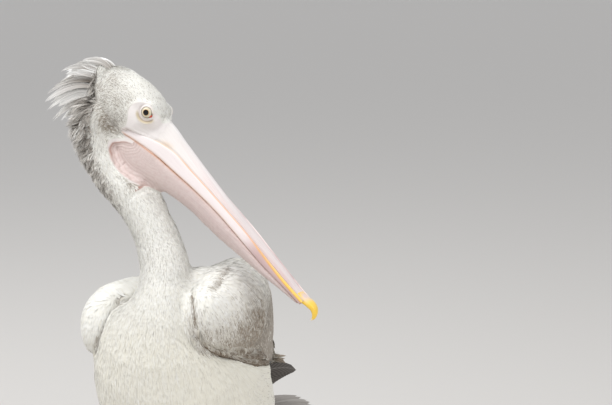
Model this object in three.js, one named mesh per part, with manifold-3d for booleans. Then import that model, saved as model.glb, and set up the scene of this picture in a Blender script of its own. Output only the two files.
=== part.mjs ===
// A standing pelican, life size, as a still museum model.
// Millimetres, +Z up. The bird faces -Y and its left side is +X. The soles stand on z = 0.
import * as THREE from 'three';
import { LoftGeometry } from 'three/addons/geometries/LoftGeometry.js';
import { mergeVertices } from 'three/addons/utils/BufferGeometryUtils.js';
import Module from 'manifold-3d';

const wasm = await Module();
wasm.setup();

// ---------------------------------------------------------------- driving dimensions
const gap = 0.3; // between pieces that touch
const culmen = 326; // forehead feathers to the tip of the nail
const eyeDiameter = 21; // whole eyeball, of which the lids show 13
const eyeSpread = 22; // from the head's middle plane to the middle of an eyeball
const headTurn = 86; // degrees, bill turned from straight ahead to the bird's left
const headDip = 49; // degrees, bill below the horizon
const headRoll = -6; // degrees, crown leaning away from the side that is turned forward
const headCentre = [-21, -12, 666]; // middle plane of the head at the height of the eyes
const wingHeld = { // moved outward, back and up from an even hold, and how far the elbow droops
  left: [2, 10, 5, 0],
  right: [0, 0, -17, 12],
};
const wingSpread = 132; // body's middle plane to the outer face of a folded wing
const wingTip = [22, 378, 196]; // end of the longest primary feather
const tailLength = 185;
const tailDip = 14; // degrees, tail below the horizon
const stance = 60; // body's middle plane to each leg
const hock = [90, 100]; // y and z of the joint above the shank
const ankle = [64, 14]; // y and z of the joint above the foot
const toeOut = 12; // degrees, each foot turned outward
const toes = [ // length, direction from straight ahead (inward is positive), width
  { length: 98, spread: 2, width: 10 },
  { length: 94, spread: -27, width: 9 },
  { length: 78, spread: 30, width: 9 },
  { length: 46, spread: 86, width: 8 },
];
const clawLength = 11;
const webThickness = 3;

// ---------------------------------------------------------------- finishes
function finish(color, roughness) {
  return new THREE.MeshStandardMaterial({ color, roughness, metalness: 0 });
}

const plumage = finish(0xe9e5dc, 0.9);
const darkFeather = finish(0x4a423a, 0.7);
const crestFeather = finish(0xb9b2a6, 0.85);
const hornPink = finish(0xe3bdb0, 0.5);
const nailYellow = finish(0xe8a92c, 0.4);
const pouchSkin = finish(0xc99a94, 0.6);
const legSkin = finish(0x8c7f76, 0.65);
const clawHorn = finish(0x3a3430, 0.5);
const eyeGlass = finish(0xd8cfae, 0.1);

// ---------------------------------------------------------------- solids
const pelican = new THREE.Group();

// The closed solid of a three.js geometry, its shared corners merged.
function solid(geometry) {
  const bare = new THREE.BufferGeometry().copy(geometry);
  bare.deleteAttribute('normal');
  bare.deleteAttribute('uv');
  const merged = mergeVertices(bare, 1e-4);
  const vertProperties = new Float32Array(merged.attributes.position.array);
  const triVerts = new Uint32Array(merged.index.array);
  return new wasm.Manifold(new wasm.Mesh({ numProp: 3, vertProperties, triVerts }));
}

// A named mesh from a solid.
function place(name, body, material) {
  const mesh = body.getMesh();
  const geometry = new THREE.BufferGeometry();
  geometry.setAttribute('position', new THREE.BufferAttribute(new Float32Array(mesh.vertProperties), 3));
  geometry.setIndex(new THREE.BufferAttribute(new Uint32Array(mesh.triVerts), 1));
  geometry.computeVertexNormals();
  const piece = new THREE.Mesh(geometry, material);
  piece.name = name;
  pelican.add(piece);
}

function vector(list) {
  return new THREE.Vector3(...list);
}

// Where the rings of a loft lie, from 0 to 1: evenly, and closer together at a domed end.
function ringSteps(count, domeStart, domeEnd) {
  const steps = [];
  for (let i = 0; i <= count; i += 1) {
    const even = i / count;
    const eased = (1 - Math.cos(Math.PI * even)) / 2;
    const weight = even < 0.5 ? Number(domeStart > 0) : Number(domeEnd > 0);
    steps.push(even + (eased - even) * weight);
  }
  return steps;
}

// How much of its full size a ring keeps at a distance from a domed end.
function domeScale(distance, reach) {
  if (reach <= 0 || distance >= reach) return 1;
  const missing = 1 - distance / reach;
  return Math.max(0.16, Math.sqrt(1 - missing * missing));
}

// A closed body through stations. Each station is a row: x, y, z of its centre, half width, reach above
// the centre and reach below it. The fullness squares a section off above 2, grow makes it larger all
// round, and from and to keep only that stretch of it. Up points to the top of each section; level,
// where it is given, is the direction of its width instead.
function loft(stations, options) {
  const { rings = 16, around = 20, up = [0, 0, 1], level = null, domeStart = 0, domeEnd = 0 } = options;
  const { fullness = 2, grow = 0, floor = -Infinity, from = 0, to = 1 } = options;
  const centres = new THREE.CatmullRomCurve3(stations.map((s) => vector(s.slice(0, 3))));
  const sizes = stations.map((s) => vector(s.slice(3, 6)));
  const reaches = new THREE.CatmullRomCurve3(sizes, false, 'catmullrom', 0.4);
  const length = centres.getLength();
  const hint = vector(up).normalize();
  const sections = ringSteps(rings, domeStart, domeEnd).map((step) => {
    const u = from + (to - from) * step;
    const centre = centres.getPoint(u);
    const reach = reaches.getPoint(u);
    const tangent = centres.getTangent(u);
    const side = level ? vector(level) : hint.clone().cross(tangent);
    side.addScaledVector(tangent, -side.dot(tangent)).normalize();
    const top = tangent.clone().cross(side);
    const scale = domeScale(u * length, domeStart) * domeScale((1 - u) * length, domeEnd);
    if (step === 0) centre.addScaledVector(tangent, -grow);
    if (step === 1) centre.addScaledVector(tangent, grow);
    const ring = [];
    for (let i = 0; i < around; i += 1) {
      const angle = ((i + 0.5) / around) * 2 * Math.PI;
      const across = Math.sign(Math.cos(angle)) * Math.abs(Math.cos(angle)) ** (2 / fullness);
      const along = Math.sign(Math.sin(angle)) * Math.abs(Math.sin(angle)) ** (2 / fullness);
      const height = along > 0 ? reach.y : reach.z;
      const point = centre.clone();
      point.addScaledVector(side, across * (reach.x * scale + grow));
      point.addScaledVector(top, along * (height * scale + grow));
      point.z = Math.max(point.z, floor);
      ring.push(point);
    }
    return ring;
  });
  return new LoftGeometry(sections, { closed: true, capStart: true, capEnd: true });
}

// The same stations on the bird's other side.
function mirrored(stations, sign) {
  return stations.map(([x, ...rest]) => [x * sign, ...rest]);
}

const sides = [['left', 1], ['right', -1]];

// ---------------------------------------------------------------- trunk
const trunkStations = [
  [13, -60, 430, 36, 37, 37],
  [15, -67, 414, 44, 39, 42],
  [13, -70, 395, 58, 38, 52],
  [7, -63, 370, 80, 54, 74],
  [0, -38, 332, 103, 90, 104],
  [0, 8, 284, 117, 132, 134],
  [0, 72, 240, 108, 130, 116],
  [0, 140, 212, 82, 104, 80],
  [0, 202, 196, 56, 64, 44],
  [0, 252, 188, 32, 28, 20],
];
const trunkShape = { rings: 15, around: 22, level: [-1, 0, 0], domeEnd: 30 };
const trunk = solid(loft(trunkStations, trunkShape));
const trunkCutter = solid(loft(trunkStations, { ...trunkShape, grow: gap }));
place('trunk', trunk, plumage);

// ---------------------------------------------------------------- neck
// The lower length rises from the breast, the upper one leans to the bird's right and up to the head.
const neckStations = [
  [13, -60, 430 + gap, 36, 37, 37],
  [10, -50, 452, 35, 35, 35],
  [-1, -39, 473, 33, 33, 33],
  [-15, -32, 501, 31, 32, 32],
  [-38, -29, 533, 29, 30, 30],
  [-62, -29, 557, 27, 28, 28],
  [-92, -28, 584, 24, 26, 25],
  [-109, -22, 614, 26, 30, 27],
  [-112, -16, 646, 30, 32, 32],
  [-98, -12, 678, 28, 28, 30],
];
const neckShape = { rings: 4, around: 16, up: [-0.35, 1, 0] };
const neckJoint = 3 / (neckStations.length - 1); // where along the neck its two lengths meet
const seam = 0.0006; // half the width of that joint, as a share of the neck
const lowerNeckShape = { ...neckShape, to: neckJoint - seam };
const upperNeckShape = { ...neckShape, rings: 9, from: neckJoint + seam, domeEnd: 24 };

// ---------------------------------------------------------------- head frame
// In the head, x runs along the bill, y to the bird's left of it and z up through the crown.
const headFrame = new THREE.Matrix4();
const billEnd = culmen + 32; // along the bill, from the middle of the eyes
const degrees = Math.PI / 180;
const billHeading = new THREE.Vector3(
  Math.sin(headTurn * degrees) * Math.cos(headDip * degrees),
  -Math.cos(headTurn * degrees) * Math.cos(headDip * degrees),
  -Math.sin(headDip * degrees),
);
const headLeft = new THREE.Vector3(0, 0, 1).cross(billHeading).normalize();
headLeft.applyAxisAngle(billHeading, headRoll * degrees);
const headUp = billHeading.clone().cross(headLeft);
headFrame.makeBasis(billHeading, headLeft, headUp).setPosition(vector(headCentre));

function inHead(geometry) {
  return geometry.applyMatrix4(headFrame);
}

// ---------------------------------------------------------------- eyes
const eyes = sides.map(([side, sign]) => {
  const ball = new THREE.SphereGeometry(eyeDiameter / 2, 10, 8);
  ball.rotateX(Math.PI / 2).translate(0, sign * eyeSpread, 0);
  const socket = new THREE.SphereGeometry(eyeDiameter / 2 + gap, 10, 8);
  socket.rotateX(Math.PI / 2).translate(0, sign * eyeSpread, 0);
  return { side, ball: solid(inHead(ball)), socket: solid(inHead(socket)) };
});

// ---------------------------------------------------------------- bill
const billShape = { around: 14, fullness: 2.4 };
const upperBillStations = [
  [0, 0, -45, 22, 3, 3],
  [18, 0, -32, 23, 14, 9],
  [36, 0, -16, 22, 26, 17],
  [64, 0, -8, 21, 19, 20],
  [104, 0, -3, 20, 16, 17],
  [160, 0, 3, 19, 13, 13],
  [226, 0, 7, 18, 11, 11],
  [296, 0, 12, 17, 8, 8],
  [billEnd - 28, 0, 12, 14, 6, 7],
];
const upperBillShape = { ...billShape, rings: 14 };
const upperBill = solid(inHead(loft(upperBillStations, upperBillShape)));
const upperBillCutter = solid(inHead(loft(upperBillStations, { ...upperBillShape, grow: gap })));
place('upper_bill', upperBill, hornPink);

const nailStations = [
  [billEnd - 28 + gap, 0, 12, 13, 6, 7],
  [billEnd - 14, 0, 15, 11, 7, 7],
  [billEnd - 6, 0, 14, 8, 6, 6],
  [billEnd - 4, 0, 8, 5, 5, 4],
  [billEnd - 5, 0, 2, 3, 3, 3],
];
const nailShape = { ...billShape, rings: 7, around: 12, up: [0.3, 0, 1], domeEnd: 5 };
const nail = solid(inHead(loft(nailStations, nailShape))).subtract(upperBillCutter);
const nailCutter = solid(inHead(loft(nailStations, { ...nailShape, grow: gap })));
place('bill_nail', nail, nailYellow);

const lowerBillStations = [
  [0, 0, -56, 19, 5, 6],
  [40, 0, -43, 21, 5, 6],
  [88, 0, -31, 19, 5, 5],
  [160, 0, -18, 18, 5, 5],
  [226, 0, -9, 16, 5, 5],
  [296, 0, 0, 13, 4, 4],
  [billEnd - 12, 0, 6, 7, 3, 3],
];
const lowerBillShape = { ...billShape, rings: 10, around: 12, domeEnd: 8 };
const lowerBillGrown = solid(inHead(loft(lowerBillStations, { ...lowerBillShape, grow: gap })));
const lowerBill = solid(inHead(loft(lowerBillStations, lowerBillShape)));
const lowerBillCut = lowerBill.subtract(upperBillCutter).subtract(nailCutter);
place('lower_bill', lowerBillCut, hornPink);

// ---------------------------------------------------------------- throat pouch
const pouchStations = [
  [-4, 0, -66, 10, 10, 8],
  [10, 0, -68, 17, 16, 20],
  [34, 0, -66, 19, 20, 28],
  [60, 0, -58, 18, 20, 27],
  [84, 0, -48, 15, 16, 17],
  [130, 0, -34, 11, 12, 16],
  [176, 0, -25, 9, 9, 15],
  [234, 0, -14, 7, 8, 9],
  [290, 0, -5, 5, 5, 4],
  [billEnd - 30, 0, 1, 4, 3, 3],
];
const pouchShape = { ...billShape, rings: 12, around: 12, fullness: 2, domeStart: 10, domeEnd: 6 };
const pouchWhole = solid(inHead(loft(pouchStations, pouchShape)));
const pouchCutter = solid(inHead(loft(pouchStations, { ...pouchShape, grow: gap })));
const pouch = pouchWhole.subtract(upperBillCutter).subtract(lowerBillGrown).subtract(nailCutter);
place('pouch', pouch, pouchSkin);

// ---------------------------------------------------------------- head
const headStations = [
  [-92, 0, -34, 20, 20, 18],
  [-76, 0, -32, 28, 31, 28],
  [-50, 0, -26, 33, 37, 36],
  [-20, 0, -22, 33, 41, 38],
  [4, 0, -18, 30, 36, 34],
  [24, 0, -14, 26, 25, 30],
  [40, 0, -10, 22, 18, 22],
];
const headShape = { rings: 9, around: 15, fullness: 2.2, domeStart: 14 };
const jawStations = [
  [-38, 1, -69, 8, 5, 5],
  [-28, 1, -69, 17, 12, 12],
  [-16, 1, -69, 20, 14, 14],
  [-4, 1, -69, 17, 12, 12],
];
const jawShape = { rings: 6, around: 14, domeStart: 6, domeEnd: 8 };
const jawFill = solid(inHead(loft(jawStations, jawShape)));
const jawCutter = solid(inHead(loft(jawStations, { ...jawShape, grow: gap })));
const headWhole = solid(inHead(loft(headStations, headShape))).add(jawFill);
const headCutter = solid(inHead(loft(headStations, { ...headShape, grow: gap }))).add(jawCutter);
const headCuts = [upperBillCutter, lowerBillGrown, pouchCutter, ...eyes.map((eye) => eye.socket)];
place('head', headCuts.reduce((body, cut) => body.subtract(cut), headWhole), plumage);
for (const eye of eyes) place(`eye_${eye.side}`, eye.ball, eyeGlass);

// ---------------------------------------------------------------- neck pieces
const neckUpperWhole = solid(loft(neckStations, upperNeckShape));
const neckUpper = [headCutter, pouchCutter].reduce((body, cut) => body.subtract(cut), neckUpperWhole);
const neckUpperCutter = solid(loft(neckStations, { ...upperNeckShape, grow: gap }));
place('neck_upper', neckUpper, plumage);
const neckLower = solid(loft(neckStations, lowerNeckShape)).subtract(trunkCutter);
const neckLowerCutter = solid(loft(neckStations, { ...lowerNeckShape, grow: gap }));
place('neck_lower', neckLower, plumage);

// ---------------------------------------------------------------- crest and mane
// A strap of feather: flat, curved from its root to a drooping tip.
function strap(root, lift, tip, width, thickness) {
  const path = new THREE.QuadraticBezierCurve3(root, lift, tip);
  const rows = [0, 0.35, 0.7, 1].map((u) => {
    const point = path.getPoint(u);
    const taper = u < 1 ? 1 - 0.35 * u : 0.25;
    return [point.x, point.y, point.z, width * taper, thickness, thickness];
  });
  return loft(rows, { rings: 3, around: 4, up: [-0.5, 0, 1] });
}

// Roots and tips in the head's frame: rows of straps from the hind crown down to the nape.
const crestRoots = new THREE.CatmullRomCurve3([
  vector([-76, 0, -11]),
  vector([-88, 0, -28]),
  vector([-80, 0, -64]),
]);
const crestTips = new THREE.CatmullRomCurve3([
  vector([-118, 0, -42]),
  vector([-138, 0, -76]),
  vector([-130, 0, -108]),
  vector([-104, 0, -124]),
  vector([-78, 0, -136]),
]);
const crestStraps = 13;
let crest = null;
for (let i = 0; i < crestStraps; i += 1) {
  const share = i / (crestStraps - 1);
  const fan = (i % 3) - 1;
  const root = crestRoots.getPoint(share).setY(fan * 10);
  const tip = crestTips.getPoint(share).setY(fan * 9);
  const lift = root.clone().lerp(tip, 0.55).add(vector([-9, 0, 9]));
  const feather = solid(inHead(strap(root, lift, tip, 7, 4)));
  crest = crest ? crest.add(feather) : feather;
}
const crestPad = solid(inHead(loft([
  [-66, 0, 0, 14, 6, 8],
  [-90, 0, -24, 18, 9, 10],
  [-92, 0, -54, 18, 12, 10],
  [-84, 0, -72, 14, 16, 10],
], { rings: 5, around: 8, up: [-1, 0, 0.2], domeStart: 6, domeEnd: 6 })));
crest = crest.add(crestPad);

const maneTufts = 11;
const nape = new THREE.CatmullRomCurve3(neckStations.map((s) => vector(s.slice(0, 3))));
const maneRidge = [];
let mane = null;
for (let i = 0; i < maneTufts; i += 1) {
  const share = i / (maneTufts - 1);
  const u = 0.97 - 0.35 * share;
  const centre = nape.getPoint(u);
  const tangent = nape.getTangent(u);
  const out = vector([-1, 0.3, 0]);
  out.addScaledVector(tangent, -out.dot(tangent)).normalize();
  const aside = out.clone().cross(tangent).multiplyScalar(((i % 3) - 1) * 9);
  const at = (reach, drop) => centre.clone().addScaledVector(out, reach).addScaledVector(tangent, -drop);
  const reach = 53 - 23 * share;
  const path = [at(14, -4), at(reach - 6, 0), at(reach, 22)].map((point) => point.add(aside));
  const tuft = solid(strap(...path, 10, 5));
  mane = mane ? mane.add(tuft) : tuft;
  if (i % 2 === 0) maneRidge.push([...at(25, 0).toArray(), 15, 7, 7]);
}
mane = mane.add(solid(loft(maneRidge, { rings: 5, around: 7, up: [-1, 0.3, 0] })));
crest = crest.subtract(headCutter).subtract(neckUpperCutter);
mane = mane.subtract(headCutter).subtract(neckUpperCutter).subtract(neckLowerCutter).subtract(crest);
place('crest', crest, crestFeather);
place('mane', mane, crestFeather);

// ---------------------------------------------------------------- wings
const wingStations = [
  [78, -106, 394, 16, 24, 24],
  [78, -88, 394, 28, 44, 42],
  [76, -52, 392, 46, 58, 56],
  [70, 0, 386, wingSpread - 72, 68, 66],
  [58, 56, 376, 54, 76, 72],
  [46, 118, 346, 41, 76, 80],
  [32, 180, 306, 29, 58, 64],
  [19, 236, 270, 16, 36, 40],
  [11, 276, 248, 9, 18, 18],
];
const wristToElbow = 160; // along the back, the stretch over which a drooping wing sinks
const wingShape = { rings: 12, around: 16, fullness: 2.1, domeStart: 22, domeEnd: 10 };
const primaryStations = [
  [42, 150, 276, 14, 38, 34],
  [36, 220, 250, 12, 30, 30],
  [32, 290, 226, 9, 20, 22],
  [28, 346, 208, 6, 10, 12],
  [...wingTip, 3, 3, 3],
];
const primaryShape = { rings: 7, around: 10, domeEnd: 8 };
const tailBase = [0, 218, 192];
const tailRows = [0, 0.35, 0.75, 1].map((u) => {
  const run = (tailLength + 20) * u;
  const width = 34 + 34 * Math.sin(u * 2.2);
  const y = tailBase[1] + run * Math.cos(tailDip * degrees);
  const z = tailBase[2] - run * Math.sin(tailDip * degrees);
  return [0, y, z, width, 8 - 5.5 * u, 8 - 5.5 * u];
});
const tailShape = { rings: 7, around: 10, domeEnd: 34 };
const tailCutter = solid(loft(tailRows, { ...tailShape, grow: gap }));
const halfSpace = (sign) => {
  const box = new THREE.BoxGeometry(400, 1200, 1200);
  return solid(box.translate(sign * (200 + gap), 0, 300));
};

for (const [side, sign] of sides) {
  const [out, back, lift, droop] = wingHeld[side];
  const sink = (y) => droop * Math.min(1, (y - wingStations[0][1]) / wristToElbow);
  const held = ([x, y, z, ...reach]) => [x + sign * out, y + back, z + lift - sink(y), ...reach];
  const stations = mirrored(wingStations, sign).map(held);
  const keep = halfSpace(sign);
  const wingWhole = solid(loft(stations, wingShape)).intersect(keep);
  const wing = wingWhole.subtract(trunkCutter).subtract(neckLowerCutter);
  const wingCutter = solid(loft(stations, { ...wingShape, grow: gap }));
  const feathers = solid(loft(mirrored(primaryStations, sign), primaryShape));
  place(`wing_${side}`, wing, plumage);
  const bundle = feathers.intersect(keep).subtract(wingCutter).subtract(trunkCutter).subtract(tailCutter);
  place(`primaries_${side}`, bundle, darkFeather);
}
place('tail', solid(loft(tailRows, tailShape)).subtract(trunkCutter), darkFeather);

// ---------------------------------------------------------------- legs
function footSolids(sign) {
  const turn = new THREE.Matrix4().makeRotationZ(-sign * toeOut * degrees);
  turn.setPosition(sign * stance, ankle[0], 0);
  const point = (toe, share) => {
    const angle = toe.spread * degrees;
    return [-sign * Math.sin(angle) * toe.length * share, -Math.cos(angle) * toe.length * share];
  };
  const web = new THREE.Shape();
  const order = [toes[1], toes[0], toes[2], toes[3]];
  web.moveTo(sign * 6, 8);
  web.lineTo(...point(order[0], 0.97));
  for (let i = 1; i < order.length; i += 1) {
    const before = point(order[i - 1], 0.8);
    const after = point(order[i], 0.8);
    web.quadraticCurveTo((before[0] + after[0]) / 2, (before[1] + after[1]) / 2, ...point(order[i], 0.97));
  }
  web.lineTo(-sign * 6, 8);
  const sheetShape = { depth: webThickness, bevelEnabled: false, curveSegments: 3 };
  const sheet = new THREE.ExtrudeGeometry(web, sheetShape);
  let foot = solid(sheet.applyMatrix4(turn));
  const claws = [];
  toes.forEach((toe) => {
    const rows = [0, 0.33, 0.66, 1].map((u) => {
      const [x, y] = point(toe, u);
      const height = (9 - 3.4 * u) / 2;
      return [x, y, height, (toe.width / 2) * (1.15 - 0.35 * u), height, height + 1.5];
    });
    const shape = { rings: 3, around: 7, floor: 0 };
    foot = foot.add(solid(loft(rows, shape).applyMatrix4(turn)));
    const start = point(toe, 1 + gap / toe.length);
    const middle = point(toe, 1 + (0.6 * clawLength) / toe.length);
    const end = point(toe, 1 + clawLength / toe.length);
    const clawRows = [[...start, 3, 2.8, 2.8, 4], [...middle, 2.8, 2, 2.2, 4], [...end, 1.1, 0.7, 0.7, 2]];
    claws.push(solid(loft(clawRows, { rings: 2, around: 6, floor: 0 }).applyMatrix4(turn)));
  });
  const x = sign * stance;
  const knob = [[x, ankle[0] + 9, 4, 8, 9, 9], [x, ankle[0] - 9, 5, 7, 9, 9]];
  foot = foot.add(solid(loft(knob, { rings: 4, around: 8, floor: 0, domeStart: 8, domeEnd: 8 })));
  return { foot, claws };
}

for (const [side, sign] of sides) {
  const x = sign * stance;
  const thighRows = [
    [x * 0.92, hock[0] - 30, 190, 44, 44, 44],
    [x * 0.97, hock[0] - 13, 140, 32, 36, 34],
    [x, hock[0], hock[1] + 8, 15, 17, 16],
  ];
  const thighShape = { rings: 7, around: 12, up: [0, 1, 0], domeEnd: 6 };
  const thigh = solid(loft(thighRows, thighShape)).subtract(trunkCutter);
  const thighCutter = solid(loft(thighRows, { ...thighShape, grow: gap }));
  const shankRows = [
    [x, hock[0], hock[1] + 10, 7, 8, 8],
    [x, hock[0] + 1, hock[1], 9, 12, 11],
    [x, hock[0] - 5, hock[1] - 18, 6.5, 8, 8],
    [x, (hock[0] + ankle[0]) / 2, (hock[1] + ankle[1]) / 2, 6, 8, 7.5],
    [x, ankle[0] + 1, ankle[1] - 2, 6.5, 8.5, 8.5],
  ];
  const { foot, claws } = footSolids(sign);
  const shankShape = { rings: 7, around: 9, up: [0, 1, 0] };
  const shank = solid(loft(shankRows, shankShape)).subtract(thighCutter);
  const shankCutter = solid(loft(shankRows, { ...shankShape, grow: gap }));
  place(`thigh_${side}`, thigh, plumage);
  place(`shank_${side}`, shank, legSkin);
  place(`foot_${side}`, foot.subtract(shankCutter), legSkin);
  claws.forEach((claw, i) => place(`claw_${side}_${i + 1}`, claw, clawHorn));
}

// ---------------------------------------------------------------- origin under the middle of the whole bird
const box = new THREE.Box3().setFromObject(pelican);
pelican.position.set(-(box.min.x + box.max.x) / 2, -(box.min.y + box.max.y) / 2, -box.min.z);

export default pelican;
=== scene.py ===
import math
import bmesh
import bpy
import numpy as np
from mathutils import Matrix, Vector
from mathutils.bvhtree import BVHTree
from mathutils.kdtree import KDTree


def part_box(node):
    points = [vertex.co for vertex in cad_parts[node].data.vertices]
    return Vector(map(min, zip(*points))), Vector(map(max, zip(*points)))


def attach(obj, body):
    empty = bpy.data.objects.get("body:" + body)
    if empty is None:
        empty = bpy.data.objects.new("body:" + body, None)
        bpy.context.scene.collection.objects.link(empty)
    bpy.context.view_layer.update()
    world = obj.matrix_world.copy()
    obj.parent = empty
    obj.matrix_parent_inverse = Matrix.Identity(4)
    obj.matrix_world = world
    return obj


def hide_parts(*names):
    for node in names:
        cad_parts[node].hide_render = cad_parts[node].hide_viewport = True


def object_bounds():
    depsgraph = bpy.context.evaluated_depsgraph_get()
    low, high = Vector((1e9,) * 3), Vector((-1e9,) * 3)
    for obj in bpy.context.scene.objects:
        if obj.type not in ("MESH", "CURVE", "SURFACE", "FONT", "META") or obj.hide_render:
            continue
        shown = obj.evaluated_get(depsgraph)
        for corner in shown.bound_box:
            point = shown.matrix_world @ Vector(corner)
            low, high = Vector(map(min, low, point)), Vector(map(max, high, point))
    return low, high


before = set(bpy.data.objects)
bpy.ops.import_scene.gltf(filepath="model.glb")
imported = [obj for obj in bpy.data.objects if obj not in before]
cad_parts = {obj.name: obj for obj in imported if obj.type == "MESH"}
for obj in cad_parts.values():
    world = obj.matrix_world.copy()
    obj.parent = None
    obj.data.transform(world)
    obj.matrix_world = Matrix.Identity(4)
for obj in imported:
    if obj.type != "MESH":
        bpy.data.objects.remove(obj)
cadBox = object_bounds()
print("frame loaded:", len(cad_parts), "solids")
mm = 0.001


# small sums used everywhere
def unit(v):
    return v / np.maximum(np.linalg.norm(v, axis=-1, keepdims=True), 1e-12)


def dot(a, b):
    return (a * b).sum(-1)


def fade(low, high, x):
    t = np.clip((np.asarray(x, float) - low) / (high - low), 0, 1)
    return t * t * (3 - 2 * t)


def bell(x, middle, width):
    return np.exp(-((x - middle) / width) ** 2)


def along(knots, x):  # smooth curve through (x, y) knots
    k = np.asarray(knots, float)
    slope = np.gradient(k[:, 1], k[:, 0])
    x = np.clip(np.asarray(x, float), k[0, 0], k[-1, 0])
    i = np.clip(np.searchsorted(k[:, 0], x) - 1, 0, len(k) - 2)
    h = k[i + 1, 0] - k[i, 0]
    t = (x - k[i, 0]) / h
    a = k[i, 1] * (1 + 2 * t) * (1 - t) ** 2 + h * slope[i] * t * (1 - t) ** 2
    return a + k[i + 1, 1] * t * t * (3 - 2 * t) + h * slope[i + 1] * t * t * (t - 1)


def throughPoints(points, count):  # smooth path through points in space or in a plane
    p = np.asarray(points, float)
    reach = np.concatenate([[0], np.cumsum(np.linalg.norm(np.diff(p, axis=0), axis=1))])
    x = np.linspace(0, reach[-1], count)
    return np.stack([along(np.stack([reach, p[:, c]], 1), x) for c in range(p.shape[1])], 1)


def ripple(points, size, seed):  # smooth random number in about -1 to 1 for each point
    draw = np.random.default_rng(seed)
    total = np.zeros(len(points))
    for octave in range(9):
        wave = unit(draw.normal(size=3)) * (2 * math.pi / size) * draw.uniform(0.6, 1.5)
        total += np.sin(points @ wave + draw.uniform(0, 6.28))
    return total / 3


def boxMiddle(node):
    low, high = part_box(node)
    return np.array((low + high) / 2)


def nodeMesh(name):  # welded corners and triangles of a solid
    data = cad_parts[name].data
    data.calc_loop_triangles()
    points = np.zeros(len(data.vertices) * 3)
    data.vertices.foreach_get("co", points)
    tris = np.zeros(len(data.loop_triangles) * 3, np.int32)
    data.loop_triangles.foreach_get("vertices", tris)
    points = points.reshape(-1, 3)
    grid = np.round(points * 2e4).astype(np.int64)  # corners closer than a twentieth of a millimetre are one
    first, back = np.unique(grid, axis=0, return_index=True, return_inverse=True)[1:]
    return points[first], back.ravel()[tris].reshape(-1, 3)


def cornerNormals(points, tris):
    a, b, c = points[tris[:, 0]], points[tris[:, 1]], points[tris[:, 2]]
    face = np.cross(b - a, c - a)
    total = np.zeros_like(points)
    for corner in range(3):
        for axis in range(3):
            total[:, axis] += np.bincount(tris[:, corner], face[:, axis], len(points))
    return unit(total)


def meshFrom(name, points, faces):
    groups = [np.asarray(g) for g in (faces if isinstance(faces, list) else [faces])]
    loops = np.concatenate([g.ravel() for g in groups]).astype(np.int32)
    sizes = np.concatenate([np.full(len(g), g.shape[1]) for g in groups])
    mesh = bpy.data.meshes.new(name)
    mesh.vertices.add(len(points))
    mesh.vertices.foreach_set("co", np.asarray(points, np.float32).ravel())
    mesh.loops.add(len(loops))
    mesh.loops.foreach_set("vertex_index", loops)
    mesh.polygons.add(len(sizes))
    mesh.polygons.foreach_set("loop_start", (np.cumsum(sizes) - sizes).astype(np.int32))
    mesh.update(calc_edges=True)
    mesh.shade_smooth()
    return mesh


def paint(mesh, **values):  # one number for each corner point, read by the materials
    for name, numbers in values.items():
        layer = mesh.attributes.new(name, "FLOAT", "POINT")
        layer.data.foreach_set("value", np.asarray(numbers, np.float32))


def addUv(mesh, places):
    corner = np.zeros(len(mesh.loops), np.int32)
    mesh.loops.foreach_get("vertex_index", corner)
    layer = mesh.uv_layers.new(name="OFBake")
    layer.data.foreach_set("uv", np.asarray(places, np.float32)[corner].ravel())


def addPiece(name, mesh, material, stands=()):
    piece = bpy.data.objects.new(name, mesh)
    bpy.context.scene.collection.objects.link(piece)
    mesh.materials.clear()
    mesh.materials.append(material)
    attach(piece, "root")
    if stands:
        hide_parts(*stands)
    print("  piece", name, len(mesh.polygons), "faces")
    return piece


def loft(sections):  # closed skin over rings of points, each ring the same length
    sections = np.asarray(sections, float)
    rings, around = sections.shape[:2]
    points = sections.reshape(-1, 3)
    r, a = np.meshgrid(np.arange(rings - 1), np.arange(around), indexing="ij")
    n = (a + 1) % around
    quads = np.stack([r * around + a, r * around + n, (r + 1) * around + n, (r + 1) * around + a], -1)
    ends = np.stack([sections[0].mean(0), sections[-1].mean(0)])
    points = np.concatenate([points, ends])
    ring = np.arange(around)
    nxt = (ring + 1) % around
    first = np.stack([nxt, ring, np.full(around, rings * around)], 1)
    base = (rings - 1) * around
    last = np.stack([base + ring, base + nxt, np.full(around, rings * around + 1)], 1)
    return points, [quads.reshape(-1, 4), np.concatenate([first, last])]


# the head's own directions, in millimetres from between the eyes:
# s along the bill, y to the bird's left, t up
headSetting = {"billLift": 1.9}  # degrees that the nail's middle stands above the bill's line
headMiddle = (boxMiddle("eye_left") + boxMiddle("eye_right")) / 2
headLeft = unit(boxMiddle("eye_left") - boxMiddle("eye_right"))
billAim = boxMiddle("bill_nail") - headMiddle
billAim = unit(billAim - headLeft * dot(billAim, headLeft))
billLift = math.radians(headSetting["billLift"])
billAhead = billAim * math.cos(billLift) - np.cross(billAim, headLeft) * math.sin(billLift)
headUp = np.cross(billAhead, headLeft)
headAxes = np.stack([billAhead, headLeft, headUp])


def toHead(points):
    return (np.asarray(points) - headMiddle) @ headAxes.T / mm


def fromHead(coords):
    return headMiddle + (np.asarray(coords, float) * mm) @ headAxes


# materials: a small kit for joining nodes
def link(tree, source, target):
    tree.links.new(source, target)


def addNode(tree, kind, inputs=None, **settings):
    made = tree.nodes.new(kind)
    for name, value in settings.items():
        setattr(made, name, value)
    for name, value in (inputs or {}).items():
        if isinstance(value, bpy.types.NodeSocket):
            link(tree, value, made.inputs[name])
        else:
            made.inputs[name].default_value = value
    return made


def maths(tree, operation, first, second=0.5, clamp=False):
    made = tree.nodes.new("ShaderNodeMath")
    made.operation = operation
    made.use_clamp = clamp
    for slot, value in enumerate((first, second)):
        if isinstance(value, bpy.types.NodeSocket):
            link(tree, value, made.inputs[slot])
        else:
            made.inputs[slot].default_value = value
    return made.outputs[0]


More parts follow.
